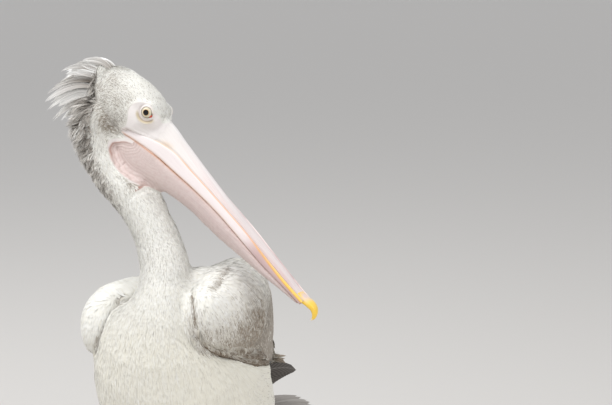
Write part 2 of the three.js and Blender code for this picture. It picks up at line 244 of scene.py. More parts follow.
def blendColour(tree, factor, first, second):
    made = tree.nodes.new("ShaderNodeMix")
    made.data_type = "RGBA"
    for slot, value in ((0, factor), (6, first), (7, second)):
        if isinstance(value, bpy.types.NodeSocket):
            link(tree, value, made.inputs[slot])
        elif slot == 0:
            made.inputs[slot].default_value = value
        else:
            made.inputs[slot].default_value = (*value, 1)
    return made.outputs[2]


def between(tree, value, low, high, newLow=0.0, newHigh=1.0):
    made = addNode(tree, "ShaderNodeMapRange", {"From Min": low, "From Max": high,
                                                "To Min": newLow, "To Max": newHigh})
    made.interpolation_type = "SMOOTHSTEP"
    link(tree, value, made.inputs["Value"])
    return made.outputs["Result"]


def painted(tree, name):
    return addNode(tree, "ShaderNodeAttribute", attribute_name=name).outputs["Fac"]


def openGroup(name, inputs, outputs):
    group = bpy.data.node_groups.new(name, "ShaderNodeTree")
    for label, kind, value in inputs:
        socket = group.interface.new_socket(name=label, in_out="INPUT", socket_type=kind)
        socket.default_value = (*value, 1) if kind == "NodeSocketColor" else value
    for label, kind in outputs:
        group.interface.new_socket(name=label, in_out="OUTPUT", socket_type=kind)
    return group, group.nodes.new("NodeGroupInput").outputs, group.nodes.new("NodeGroupOutput").inputs


def useGroup(tree, group, values):
    made = tree.nodes.new("ShaderNodeGroup")
    made.node_tree = group
    for name, value in values.items():
        if isinstance(value, bpy.types.NodeSocket):
            link(tree, value, made.inputs[name])
        elif isinstance(value, tuple):
            made.inputs[name].default_value = (*value, 1)
        else:
            made.inputs[name].default_value = value
    return made.outputs


def newMaterial(name, **sockets):
    made = bpy.data.materials.new(name)
    made.use_nodes = True
    tree = made.node_tree
    shader = tree.nodes["Principled BSDF"]
    for label, value in sockets.items():
        shader.inputs[label.replace("_", " ")].default_value = value
    return made, tree, shader


def bumpInto(tree, shader, height, strength, distance):
    made = addNode(tree, "ShaderNodeBump", {"Strength": strength, "Distance": distance, "Height": height})
    link(tree, made.outputs["Normal"], shader.inputs["Normal"])


# fine streaks and freckles that several finishes share
def makeGrainGroup():
    group, given, out = openGroup(
        "fineGrain",
        [("Scale", "NodeSocketFloat", 400.0), ("Stretch", "NodeSocketFloat", 1.0),
         ("Detail", "NodeSocketFloat", 3.0)],
        [("Value", "NodeSocketFloat")])
    place = addNode(group, "ShaderNodeTexCoord").outputs["Object"]
    noise = addNode(group, "ShaderNodeTexNoise", {"Vector": place, "Scale": given["Scale"],
                                                  "Detail": given["Detail"], "Roughness": 0.6})
    spread = maths(group, "SUBTRACT", noise.outputs["Fac"], 0.5)
    link(group, maths(group, "ADD", maths(group, "MULTIPLY", spread, given["Stretch"]), 0.5), out["Value"])
    return group


grainGroup = makeGrainGroup()


# thin lines running lengthwise over horn and stretched skin
def makeLinesGroup():
    group, given, out = openGroup(
        "lengthLines",
        [("Lengthwise", "NodeSocketFloat", 0.0), ("Across", "NodeSocketFloat", 0.0),
         ("Fineness", "NodeSocketFloat", 1.0)],
        [("Value", "NodeSocketFloat")])
    place = addNode(group, "ShaderNodeCombineXYZ", {
        "X": maths(group, "MULTIPLY", given["Lengthwise"], 0.018),
        "Y": maths(group, "MULTIPLY", given["Across"], given["Fineness"])})
    noise = addNode(group, "ShaderNodeTexNoise", {"Vector": place.outputs["Vector"], "Scale": 1.0,
                                                  "Detail": 2.5, "Roughness": 0.65})
    link(group, between(group, noise.outputs["Fac"], 0.36, 0.64), out["Value"])
    return group


linesGroup = makeLinesGroup()


# bill and throat outlines, all (s, t) along the middle plane or beside it
billLines = {
    "culmen": [(-8, -4), (8, 3), (20, 7), (32, 8.3), (60, 8), (119, 8.5), (177, 8.8), (237, 11.3), (288, 15),
               (324, 15.6), (337, 18)],
    "groove": [(-8, -42), (1, -37), (26, -22), (58, -7.5), (105, -1.8), (173, 5), (212, 8.4), (262, 10.3),
               (293, 11.8), (337, 15.5)],
    "mouth": [(-8, -53), (-2, -50), (42, -33), (88, -23), (124, -15.6), (164, -9), (203, -5.2), (260, -0.5),
              (300, 5), (337, 9)],
    "halfWidth": [(-8, 20.5), (6, 22), (24, 22.8), (42, 21.8), (64, 20), (104, 17.8), (160, 16.6),
                  (226, 16.2), (296, 15.2), (332, 13), (337, 12.6)],
}


def billLine(name, s):
    return along(billLines[name], s)


# upper bill: a long flat-topped horn with a groove down each side and a band along the mouth
upperBillPlan = {"from": -6.0, "to": 334.0, "step": 2.2, "around": 61, "grooveDepth": 0.8}


def upperBillHalf(s):  # right half of one slice, from the ridge to the middle of the palate
    c, g, m, w = (billLine(name, s) for name in ("culmen", "groove", "mouth", "halfWidth"))
    deep = upperBillPlan["grooveDepth"]
    knots = [(0, c), (0.17 * w, c - 0.3), (0.36 * w, c - 0.12 * (c - g)), (0.62 * w, c - 0.36 * (c - g)),
             (0.81 * w, c - 0.68 * (c - g)), (0.895 * w, g + 1.7), (0.915 * w - deep, g), (0.95 * w, g - 1.6),
             (0.995 * w, g + 0.4 * (m - g)), (w, g + 0.66 * (m - g)), (0.975 * w, m + 1.5), (0.93 * w, m),
             (0.85 * w, m + 0.9), (0.4 * w, m + 2.0), (0, m + 2.2)]
    return throughPoints(knots, upperBillPlan["around"])


def mirroredRing(half, s):  # both sides of a slice as one closed ring in space
    left = np.stack([np.full(len(half), s), half[:, 0], half[:, 1]], 1)
    right = left[-2:0:-1] * (1, -1, 1)
    return np.concatenate([left, right])


def upperBillMesh():
    stations = np.arange(upperBillPlan["from"], upperBillPlan["to"], upperBillPlan["step"])
    return loft([mirroredRing(upperBillHalf(s), s) for s in stations])


# throat: the lower bill and the pouch hanging between its two rails, one slack skin
throatPlan = {
    "from": -5.0, "to": 336.0, "step": 3.0, "around": 26,
    "bottom": [(-6, -67), (0, -75), (8, -82.5), (25, -88), (42, -87.5), (58, -83), (71, -75), (84, -65),
               (110, -54), (134, -47), (177, -39.5), (215, -30), (240, -23.2), (267, -16), (292, -8),
               (318, 0), (336, 5)],
    "width": [(-6, 11), (4, 17), (18, 20.5), (40, 21.8), (64, 20), (104, 17.2), (160, 16), (226, 15.6),
              (296, 14.2), (326, 12), (336, 9)],
    "roundness": [(-6, 2.3), (60, 2.3), (110, 1.55), (336, 1.5)],
}


def throatHalf(s):
    top = billLine("mouth", s) + 0.4
    low = along(throatPlan["bottom"], s)
    w = along(throatPlan["width"], s)
    power = along(throatPlan["roundness"], s)
    u = np.linspace(0, 1, throatPlan["around"] - 2) ** 0.8
    side = np.stack([w * (1 - u ** 2.3) ** (1 / power), top - 1.5 + u * (low - top + 1.5)], 1)
    return np.concatenate([[(0, top), (0.86 * w, top)], side])


# feathered flesh beyond the solids: under the jaw, on the hind crown to carry the crest, in the corner
# between neck and pouch, and where the left wing's shoulder feathers meet the neck
padPlans = {
    "cheek": {"owner": "head", "middle": (-16, 1, -69), "reach": (24, 21, 15)},
    "crown": {"owner": "head", "middle": (-88, 0, -29), "reach": (19, 15, 16)},
    "corner": {"owner": "neck", "middle": (92, 0, -84), "reach": (32, 16, 16)},
    "scapular": {"owner": "wing_left", "level": True, "middle": (27, -158, 438), "reach": (20, 36, 19)},
}


def padMesh(name):
    turns = np.linspace(0, 2 * math.pi, 20, endpoint=False)
    rings = []
    for share in np.linspace(-0.97, 0.97, 15):
        size = math.sqrt(1 - share * share)
        rings.append(np.stack([np.full(len(turns), share), -size * np.cos(turns), size * np.sin(turns)], 1))
    points, faces = loft(rings)
    points = points * padPlans[name]["reach"] + padPlans[name]["middle"]
    return points * mm if padPlans[name].get("level") else fromHead(points), faces


def throatMesh():
    stations = np.arange(throatPlan["from"], throatPlan["to"], throatPlan["step"])
    points, faces = loft([mirroredRing(throatHalf(s), s) for s in stations])
    return fromHead(points), faces


# the one skin under the feathers
skinPlan = {
    "voxel": 4.4, "grow": 0.7, "relaxRounds": 12, "settleRounds": 4, "eyeZones": (14, 8.5), "foldZone": 9,
    "flesh": ("trunk", "neck_lower", "neck_upper", "head", "eye_left", "eye_right",
              "wing_left", "wing_right", "thigh_left", "thigh_right"),
    "coatDepth": {"trunk": 1.6, "neck": 2.0, "head": 1.4, "wing": 3.6, "thigh": 3.0},
    "eyeRadius": 10.5, "lidThickness": 0.9, "lidReach": 14.0,
}


def faceTris(faces):
    groups = faces if isinstance(faces, list) else [faces]
    return np.concatenate([g if g.shape[1] == 3 else np.concatenate([g[:, [0, 1, 2]], g[:, [0, 2, 3]]])
                           for g in groups])


def voxelShell(name, parts, voxel):
    offset = 0
    allPoints, allTris = [], []
    for points, tris in parts:
        allPoints.append(points)
        allTris.append(tris + offset)
        offset += len(points)
    mesh = meshFrom(name + "Raw", np.concatenate(allPoints), np.concatenate(allTris))
    raw = bpy.data.objects.new(name + "Raw", mesh)
    bpy.context.scene.collection.objects.link(raw)
    shrink = raw.modifiers.new("Shell", "REMESH")
    shrink.mode = "VOXEL"
    shrink.voxel_size = voxel * mm
    shrink.adaptivity = 0
    done = bpy.data.meshes.new_from_object(raw.evaluated_get(bpy.context.evaluated_depsgraph_get()))
    bpy.data.objects.remove(raw)
    bpy.data.meshes.remove(mesh)
    return done


def meshPoints(mesh):
    points = np.zeros(len(mesh.vertices) * 3)
    mesh.vertices.foreach_get("co", points)
    return points.reshape(-1, 3)


def meshEdges(mesh):
    edges = np.zeros(len(mesh.edges) * 2, np.int32)
    mesh.edges.foreach_get("vertices", edges)
    return edges.reshape(-1, 2)


def meshNormals(mesh):
    normals = np.zeros(len(mesh.vertices) * 3)
    mesh.vertices.foreach_get("normal", normals)
    return normals.reshape(-1, 3)


def spread(values, edges, rounds, pull=0.5, weight=None):  # each point drifts towards its neighbours
    out = np.array(values, float)
    flat = out.reshape(len(out), -1)
    count = np.bincount(edges.ravel(), minlength=len(out))
    share = pull if weight is None else (pull * weight)[:, None]
    for turn in range(rounds):
        mean = np.stack([np.bincount(edges[:, 0], column[edges[:, 1]], len(out)) +
                         np.bincount(edges[:, 1], column[edges[:, 0]], len(out)) for column in flat.T], 1)
        flat = flat + share * (mean / count[:, None] - flat)
    return flat.reshape(out.shape)


def smoothShape(points, edges, rounds):  # rounds off steps without shrinking the form
    for turn in range(rounds):
        points = spread(points, edges, 1, 0.52)
        points = spread(points, edges, 1, -0.54)
    return points


def refine(mesh, chosen):  # cuts the faces whose middles are chosen into smaller ones
    bm = bmesh.new()
    bm.from_mesh(mesh)
    middles = np.array([f.calc_center_median() for f in bm.faces])
    picked = chosen(middles)
    edges = {e for f, take in zip(bm.faces, picked) if take for e in f.edges}
    bmesh.ops.subdivide_edges(bm, edges=list(edges), cuts=1, use_grid_fill=True)
    bmesh.ops.triangulate(bm, faces=[f for f in bm.faces if len(f.verts) > 4])
    bm.to_mesh(mesh)
    bm.free()
    return mesh


def grown(name, size):  # a solid swollen by some millimetres
    points, tris = nodeMesh(name)
    return points + cornerNormals(points, tris) * size * mm, tris


eyeSides = {"left": 1.0, "right": -1.0}
eyeMiddles = {side: boxMiddle("eye_" + side) for side in eyeSides}


def eyeAxis(side):  # the way each eye looks: outward, a little forward
    return unit(headLeft * eyeSides[side] + billAhead * 0.10 + headUp * 0.02)


def eyeFrame(side):  # outward, towards the bill, and up across the eye
    out = eyeAxis(side)
    ahead = unit(billAhead - out * dot(billAhead, out))
    return out, ahead, np.cross(ahead, out) * eyeSides[side]


def eyePlace(points, side):  # distance from the line of sight, height along it, angle round it from the bill
    rel = (points - eyeMiddles[side]) / mm
    out, ahead, up = eyeFrame(side)
    x, y = rel @ ahead, rel @ up
    return np.hypot(x, y), rel @ out, np.degrees(np.arctan2(y, x))


def nearEye(points, reach):
    near = np.zeros(len(points), bool)
    for side in eyeSides:
        across, height, angle = eyePlace(points, side)
        near |= (across < reach) & (height > 0)
    return near


zonePlan = {"face": ((-24, 345), (-94, 24)), "folds": ((-22, 94), (-92, 12)), "halfWidth": 45}


def inZone(points, name):  # inside a box on the head
    s, y, t = toHead(points).T
    (rear, front), (low, high) = zonePlan[name]
    return (s > rear) & (s < front) & (t > low) & (t < high) & (np.abs(y) < zonePlan["halfWidth"])


def biggestIsland(mesh):  # drops the crumbs that the shell leaves inside
    points, edges = meshPoints(mesh), meshEdges(mesh)
    label = np.arange(len(points))
    for turn in range(2000):
        low = np.minimum(label[edges[:, 0]], label[edges[:, 1]])
        fresh = label.copy()
        np.minimum.at(fresh, edges[:, 0], low)
        np.minimum.at(fresh, edges[:, 1], low)
        fresh = fresh[fresh]
        if (fresh == label).all():
            break
        label = fresh
    keep = label == np.bincount(label).argmax()
    bm = bmesh.new()
    bm.from_mesh(mesh)
    bmesh.ops.delete(bm, geom=[v for v, stay in zip(bm.verts, keep) if not stay], context="VERTS")
    bm.to_mesh(mesh)
    bm.free()
    return mesh


# lines folded into the plumage, in millimetres of the whole bird: under the left wing, before the right wing,
# and at the shoulder of the left wing; 'tone' is painted shade in each crease, under the left wing with the
# dark covert edges
foldLines = {
    "leftWing": {"path": [(48, -230, 428), (53, -237, 418), (57, -240, 400), (62, -236, 378),
                          (72, -212, 354), (80, -176, 337), (89, -136, 321), (91, -100, 312), (84, -60, 302)],
                 "depth": 3.0, "wide": 4.0, "tone": 0.95, "thin": 3.2},
    "rightWing": {"path": [(-72, -194, 420), (-70, -219, 405), (-73, -234, 390), (-78, -243, 374),
                           (-87, -246, 357), (-94, -243, 345)],
                  "depth": 1.5, "wide": 4.0, "tone": 0.85, "thin": 2.6},
    "shoulder": {"path": [(70, -146, 455), (75, -176, 450), (78, -199, 443), (77, -214, 437)],
                 "depth": 2.4, "wide": 5.0, "tone": 0.5, "thin": 4.0},
}


def lineGap(points, path):  # millimetres from a line through space
    tree = KDTree(160)
    for number, place in enumerate(throughPoints(path, 160) * mm):
        tree.insert(place, number)
    tree.balance()
    return np.array([tree.find(p)[2] for p in points.tolist()]) / mm


def nearFolds(points):
    gaps = [lineGap(points, plan["path"]) for plan in foldLines.values()]
    return np.min(gaps, axis=0) < skinPlan["foldZone"]


print("skin: joining the flesh")
skinParts = [grown(name, skinPlan["grow"]) for name in skinPlan["flesh"]]
throatPoints, throatFaces = throatMesh()
skinParts.append((throatPoints, faceTris(throatFaces)))
padParts = [padMesh(name) for name in padPlans]
skinParts += [(points, faceTris(faces)) for points, faces in padParts]
skinMesh = biggestIsland(voxelShell("skin", skinParts, skinPlan["voxel"]))
skinMesh.vertices.foreach_set("co", smoothShape(
    meshPoints(skinMesh), meshEdges(skinMesh), skinPlan["relaxRounds"]).astype(np.float32).ravel())
for zone in ("face", "folds"):
    skinMesh = refine(skinMesh, lambda points: inZone(points, zone))
skinMesh = refine(skinMesh, nearFolds)
for reach in skinPlan["eyeZones"]:
    skinMesh = refine(skinMesh, lambda points: nearEye(points, reach))
skinPoints = smoothShape(meshPoints(skinMesh), meshEdges(skinMesh), skinPlan["settleRounds"])
skinEdges = meshEdges(skinMesh)
print("skin:", len(skinPoints), "points")


# who owns each place of the skin: the nearest solid
ownerNames = ("trunk", "neck", "head", "throat", "wing_left", "wing_right", "thigh_left", "thigh_right")
ownerOf = {"neck_lower": "neck", "neck_upper": "neck", "eye_left": "head", "eye_right": "head"}


def makeOwnerTree():
    points, tris, owner, offset = [], [], [], 0
    for name in skinPlan["flesh"]:
        p, f = nodeMesh(name)
        points.append(p)
        tris.append(f + offset)
        owner.append(np.full(len(f), ownerNames.index(ownerOf.get(name, name))))
        offset += len(p)
    for name, more, faces in [("throat", throatPoints, throatFaces)] + [
            (plan["owner"], *part) for plan, part in zip(padPlans.values(), padParts)]:
        points.append(more)
        tris.append(faceTris(faces) + offset)
        owner.append(np.full(len(tris[-1]), ownerNames.index(name)))
        offset += len(more)
    tree = BVHTree.FromPolygons(np.concatenate(points).tolist(), np.concatenate(tris).tolist())
    return tree, np.concatenate(owner)


ownerTree, ownerOfTri = makeOwnerTree()
throatTree = BVHTree.FromPolygons(throatPoints.tolist(), faceTris(throatFaces)[:, ::-1].tolist())
skinOwner = np.array([ownerOfTri[ownerTree.find_nearest(p)[2]] for p in skinPoints.tolist()])


def ownedBy(prefix):
    wanted = [i for i, name in enumerate(ownerNames) if name.startswith(prefix)]
    return np.isin(skinOwner, wanted)


# the bare face ends at this line, from the culmen round behind the eye and the gape, then under the pouch
bareEdge = [(60, 60), (31, 15), (25, 9.5), (20, 6), (13, 6.5), (4, 9), (-3, 10.5), (-11, 6), (-18, -1),
            (-20.5, -11), (-17, -20), (-10, -28), (-6, -36), (-9, -46), (-8.5, -53), (-1, -54), (3, -56),
            (-3, -62), (-8, -69), (-9.5, -77), (-5, -84.5), (8, -88), (20, -89), (31, -90), (42, -88),
            (51, -85), (58, -82), (66, -79), (76, -79), (90, -90), (380, -90)]


def lineDistance(x, y, line):  # distance to an open line in a plane
    line = np.asarray(line, float)
    best = np.full(len(x), 1e9)
    for a, b in zip(line[:-1], line[1:]):
        step = b - a
        u = np.clip(((x - a[0]) * step[0] + (y - a[1]) * step[1]) / dot(step, step), 0, 1)
        best = np.minimum(best, np.hypot(x - a[0] - u * step[0], y - a[1] - u * step[1]))
    return best


def insideLine(x, y, line):
    line = np.asarray(line, float)
    inside = np.zeros(len(x), bool)
    for a, b in zip(line, np.roll(line, -1, axis=0)):
        if a[1] != b[1]:
            crosses = (a[1] > y) != (b[1] > y)
            inside ^= crosses & (x < a[0] + (y - a[1]) / (b[1] - a[1]) * (b[0] - a[0]))
    return inside


bareLine = throughPoints(bareEdge[1:-1], 160)
bareLoop = np.concatenate([[bareEdge[0]], bareLine, [bareEdge[-1], (380, 60)]])


def bareDepth(points):  # millimetres inside the bare skin, negative under feathers
    s, y, t = toHead(points).T
    depth = np.full(len(points), -50.0)
    near = (s > -60) & (t > -140) & (t < 70) & (np.abs(y) < 60)
    gap = lineDistance(s[near], t[near], bareLine)
    depth[near] = np.where(insideLine(s[near], t[near], bareLoop), gap, -gap)
    return depth


# the pouch is drawn a little way over the side of the neck, and a bare nick shows in the feathers under it
pouchPlan = {
    "overNeck": 15.0, "keel": [(40, -100), (56, -82), (66, -77.5), (74, -71.5), (92, -55), (110, -40)],
    "nickAt": (70.5, -79), "nickFlat": 0.45, "nickReach": 3.0, "nickSide": 40.0,
}


def bareSkin(points):
    bare = bareDepth(points)
    face, neck = ownedBy("head") | ownedBy("throat"), ownedBy("neck")
    gap = np.array([throatTree.find_nearest(p)[3] for p in points.tolist()]) / mm
    bare = np.where(face, bare, np.minimum(bare, pouchPlan["overNeck"] - gap))
    bare = np.where(face | neck, bare, -50.0)
    s, y, t = toHead(points).T
    keel = np.interp(s, *np.transpose(pouchPlan["keel"]))
    bare = np.where(neck, np.minimum(bare, t - keel), bare)
    nickGap = np.hypot(s - pouchPlan["nickAt"][0], (t - pouchPlan["nickAt"][1]) * pouchPlan["nickFlat"])
    inNick = neck & (np.abs(y) < pouchPlan["nickSide"])
    return np.maximum(bare, np.where(inNick, pouchPlan["nickReach"] - nickGap, -50.0))


skinBare = bareSkin(skinPoints)

# sinks the skin below the outline by the depth of the coat
coatDepth = np.zeros(len(skinPoints))
for part, depth in skinPlan["coatDepth"].items():
    coatDepth[ownedBy(part)] = depth
coatDepth = spread(coatDepth, skinEdges, 30)
coatDepth *= 1 - fade(-6, 0.5, skinBare)


def nearness(mine, other, steps):  # 1 where two parts of the skin meet, falling to 0 over some mesh steps
    share = np.where(other, 1.0, 0.0)
    for turn in range(steps):
        most = share.copy()
        np.maximum.at(most, skinEdges[:, 0], share[skinEdges[:, 1]] - 1 / steps)
        np.maximum.at(most, skinEdges[:, 1], share[skinEdges[:, 0]] - 1 / steps)
        share = most
    return np.clip(share, 0, 1) * mine


# the left wing stands over the body along its lower edge, the breast stands over the front of the right wing
creasePlan = {"leftOver": 2.2, "leftUnder": 5.0, "rightOver": 2.0, "rightUnder": 5.0, "steps": 4}
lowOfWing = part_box("wing_left")[0][2]
underside = fade(lowOfWing + 0.17, lowOfWing + 0.11, skinPoints[:, 2])
body, frontal = ownedBy("trunk"), fade(-0.06, -0.10, skinPoints[:, 1])
for side, where in (("left", underside), ("right", frontal)):
    wing = ownedBy("wing_" + side)
    ridge, ditch = (wing, body) if side == "left" else (body, wing)
    coatDepth -= creasePlan[side + "Over"] * nearness(ridge, ditch, creasePlan["steps"]) * where
    coatDepth += creasePlan[side + "Under"] * nearness(ditch, ridge, creasePlan["steps"]) * where


foldGaps = {name: lineGap(skinPoints, plan["path"]) for name, plan in foldLines.items()}
for name, plan in foldLines.items():
    coatDepth += plan["depth"] * bell(foldGaps[name], 0, plan["wide"])

# the rear of the left wing lies closer, and the flank stands out a little under its end and draws in below
flankPlan = {"wingRear": 2.5, "from": -0.10, "to": -0.02,
             "places": (((88, -68, 292), 17, -4.5), ((92, -86, 248), 24, 6.0))}
wingRear = ownedBy("wing_left") * fade(flankPlan["from"], flankPlan["to"], skinPoints[:, 1])
coatDepth += flankPlan["wingRear"] * wingRear
for place, reach, depth in flankPlan["places"]:
    coatDepth += depth * bell(np.linalg.norm(skinPoints / mm - place, axis=1), 0, reach)


def normalsOf(points):
    skinMesh.vertices.foreach_set("co", points.astype(np.float32).ravel())
    skinMesh.update()
    return meshNormals(skinMesh)


skinNormals = spread(normalsOf(skinPoints), skinEdges, 2)
skinPoints = skinPoints - skinNormals * (coatDepth * mm)[:, None]
print("skin: owners and depth done")


# lids: the skin rises over each eyeball, dips inside the opening, and folds below and behind it
lidPlan = {"opening": 8.1, "corner": 1.7, "cornerAngle": 12.0, "cornerSpread": 26.0,
           "puffAt": 10.7, "puff": 0.5, "creaseAt": 13.4, "crease": 1.0, "outerAt": 15.8, "outer": 0.5}


def lidOpening(angle):  # edge of the opening, drawn out to a corner on the bill side
    corner = bell(angle, lidPlan["cornerAngle"], lidPlan["cornerSpread"])
    return lidPlan["opening"] + lidPlan["corner"] * corner


def lidCrescent(angle):  # 1 below and behind the eye, where the loose fold hangs
    return fade(-150, -118, angle) * fade(8, -16, angle)


def shapeLids(points):
    for side in eyeSides:
        across, height, angle = eyePlace(points, side)
        near = (across < skinPlan["lidReach"]) & (height > -2)
        r = skinPlan["eyeRadius"] + skinPlan["lidThickness"]
        dome = np.sqrt(np.maximum(r * r - np.minimum(across, r - 0.5) ** 2, 0))
        dome = np.where(across < lidOpening(angle) - 0.2, 5.0, dome)
        pull = near * (1 - fade(8.5, skinPlan["lidReach"], across))
        fold = lidCrescent(angle)
        relief = lidPlan["puff"] * bell(across, lidPlan["puffAt"], 1.3) * (0.6 + 0.4 * fold)
        relief -= lidPlan["crease"] * bell(across, lidPlan["creaseAt"], 0.9) * fold
        relief += lidPlan["outer"] * bell(across, lidPlan["outerAt"], 1.2) * fold
        relief *= (height > -2) * (across < 20)
        points = points + eyeAxis(side) * (((dome - height) * pull + relief) * mm)[:, None]
    return points


skinPoints = shapeLids(skinPoints)

# cuff: near the bill's root the skin lies on the horn, then slips under it
cuffPlan = {"start": 0.0, "full": 24.0, "slip": 32.0, "under": 44.0, "above": 0.4, "below": 1.4,
            "eyeClear": (15.0, 23.0)}
upperPoints, upperFaces = upperBillMesh()
upperTree = BVHTree.FromPolygons(fromHead(upperPoints).tolist(), faceTris(upperFaces)[:, ::-1].tolist())


def settleCuff(points):
    s, y, t = toHead(points).T
    g, m = t - billLine("groove", s), t - billLine("mouth", s)
    near = (s > -6) & (s < 60) & (np.abs(y) < 34) & (m > -14) & (g < 40)
    clear = np.ones(len(points))
    for side in eyeSides:
        across, height, angle = eyePlace(points, side)
        clear *= np.where(height > -6, fade(*cuffPlan["eyeClear"], across), 1.0)
    shift = np.zeros_like(points)
    for i in np.where(near)[0]:
        tree = upperTree if m[i] > -0.4 else throatTree
        place, normal = (np.array(v) for v in tree.find_nearest(points[i].tolist())[:2])
        height = dot(points[i] - place, normal) / mm
        if m[i] > -0.4:
            landed = toHead(place)[0]
            lift = cuffPlan["above"] - (cuffPlan["above"] + cuffPlan["below"]) * fade(
                cuffPlan["slip"], cuffPlan["under"], landed)
            # 1 on the band along the mouth, where the horn shows from the gape on
            band = fade(2.0, -0.6, g[i])
            lift = lift * (1 - band) - 1.3 * band
            share = fade(cuffPlan["start"], cuffPlan["full"], s[i]) * (1 - band) + fade(-6, 0, s[i]) * band
            if band < 0.5 or height > lift:
                shift[i] = (place + normal * lift * mm - points[i]) * share * clear[i]
        elif height > 0.1:
            shift[i] = (place + normal * 0.1 * mm - points[i]) * fade(0, 7, s[i])
    return points + spread(shift, skinEdges, 1, 0.4)


skinPoints = settleCuff(skinPoints)

# folds of the pouch and the corner of the mouth, as relief and as colour; the colour 'crease' is painted
# shade in the folds
foldPlan = {
    "rearBorder": [(16, -49.5), (7, -57.5), (0, -67), (-4, -74), (-1, -81), (9, -84.5), (20, -87), (31, -88),
                   (42, -86), (51, -83), (58, -80), (66, -76.5), (76, -72)],
    "borderHeight": 0.8, "arcGap": 4.4, "arcHeight": 0.24, "arcFade": 15.0,
    "scallopAt": (28, 96), "scallopHeight": 0.6, "gapeFolds": ((-7, -50), (-4, -44), (0, -39)),
    "browAngle": 130.0,
}
pouchBorder = throughPoints(foldPlan["rearBorder"], 60)


def faceMarks(points):
    s, y, t = toHead(points).T
    marks = {name: np.zeros(len(points)) for name in
             ("bare", "pouch", "border", "rust", "olive", "crease", "lengthwise", "acrossway", "reliefs",
              "shade")}
    near = (skinBare > -6) & (ownedBy("head") | ownedBy("throat") | ownedBy("neck"))
    s, y, t = s[near], y[near], t[near]
    bare = fade(-0.4, 0.9, skinBare[near])
    below = billLine("mouth", s) - t  # millimetres under the line of the mouth
    gap = lineDistance(s, t, pouchBorder)
    inside = insideLine(s, t, np.concatenate([pouchBorder, [(90, -87), (380, -87), (380, 30), (16, -20)]]))
    inside &= below > 0.3
    pouch = fade(0.2, 1.6, gap) * inside
    wobble = ripple(points[near], 0.02, 5)
    arcs = np.sin((gap + 1.3 * wobble) / foldPlan["arcGap"] * 2 * math.pi)
    deep = np.exp(-gap / foldPlan["arcFade"]) * inside * fade(100, 70, s)
    low = fade(-72, -84, t) * inside * fade(*foldPlan["scallopAt"][::-1], s)
    scallop = np.abs(np.sin((s + 2 * wobble) / 9.5 * math.pi)) ** 0.7
    border = bell(gap, 0, 1.25) * (below > 1.0) * fade(30, 4, s)
    nickS, nickT = pouchPlan["nickAt"]
    notch = bell(np.hypot(s - nickS, (t - nickT) * 0.6), 0, 4.2)
    relief = foldPlan["arcHeight"] * arcs * deep + foldPlan["scallopHeight"] * (scallop - 0.6) * low
    relief += foldPlan["borderHeight"] * bell(gap, 0, 1.1) * (below > 1.0) * fade(62, 50, s)
    relief -= 2.4 * notch * inside
    crease = np.zeros(len(s))
    for fs, ft in foldPlan["gapeFolds"]:
        fold = bell(lineDistance(s, t, [(fs - 3.5, ft - 2.5), (fs + 4, ft + 1.5)]), 0, 0.8)
        relief -= 0.7 * fold
        crease = np.maximum(crease, fold * 0.7)
    mouthNear = bell(below, 1.1, 1.2) * fade(-6, -1, s) * (1 - 0.75 * fade(60, 190, s))
    marks["bare"][near] = bare
    marks["pouch"][near] = pouch * bare
    marks["border"][near] = np.maximum(border, 0.9 * notch)
    marks["rust"][near] = mouthNear
    # 'crease': painted shade in the gape folds and in the troughs of the pouch's arcs; it also darkens the
    # nick under the pouch
    marks["crease"][near] = np.maximum.reduce([crease, 0.9 * notch, deep * fade(0.1, -0.9, arcs) * 0.4])
    marks["reliefs"][near] = relief * bare
    marks["lengthwise"][near] = s
    marks["acrossway"][near] = t - along(throatPlan["bottom"], s) + np.abs(y) * 0.4
    for side in eyeSides:
        across, height, angle = eyePlace(points, side)
        fold = lidCrescent(angle) * (height > -4)
        marks["olive"] = np.maximum(marks["olive"], bell(across, 14.0, 1.9) * fold)
        above = np.clip(np.cos(np.radians(angle - foldPlan["browAngle"])), 0, 1) ** 0.7
        marks["shade"] = np.maximum(marks["shade"], fade(9.5, 11.5, across) * fade(24, 17, across) * above)
        # painted shade in the fold under each eye
        under = 0.9 * bell(across, 12.3, 0.9) * fold * fade(-150, -95, angle)
        marks["crease"] = np.maximum(marks["crease"], under)
    return marks


skinMarks = faceMarks(skinPoints)
skinNormals = normalsOf(skinPoints)
skinPoints = skinPoints + skinNormals * (skinMarks.pop("reliefs") * mm)[:, None]
print("face folds done")


# finishes of the bare parts
skinColours = {
    "face": (0.79, 0.755, 0.72), "faceShade": (0.74, 0.66, 0.66), "shade": (0.47, 0.43, 0.41),
    "pouch": (0.63, 0.49, 0.46), "pouchDeep": (0.50, 0.37, 0.36), "throat": (0.66, 0.52, 0.49),
    "border": (0.32, 0.15, 0.11), "rust": (0.58, 0.25, 0.10), "olive": (0.50, 0.40, 0.20),
    # 'crease' is the colour of painted shade in folds
    "crease": (0.25, 0.15, 0.10), "down": (0.80, 0.79, 0.75), "cream": (0.74, 0.71, 0.62),
    "brown": (0.22, 0.17, 0.12),
}


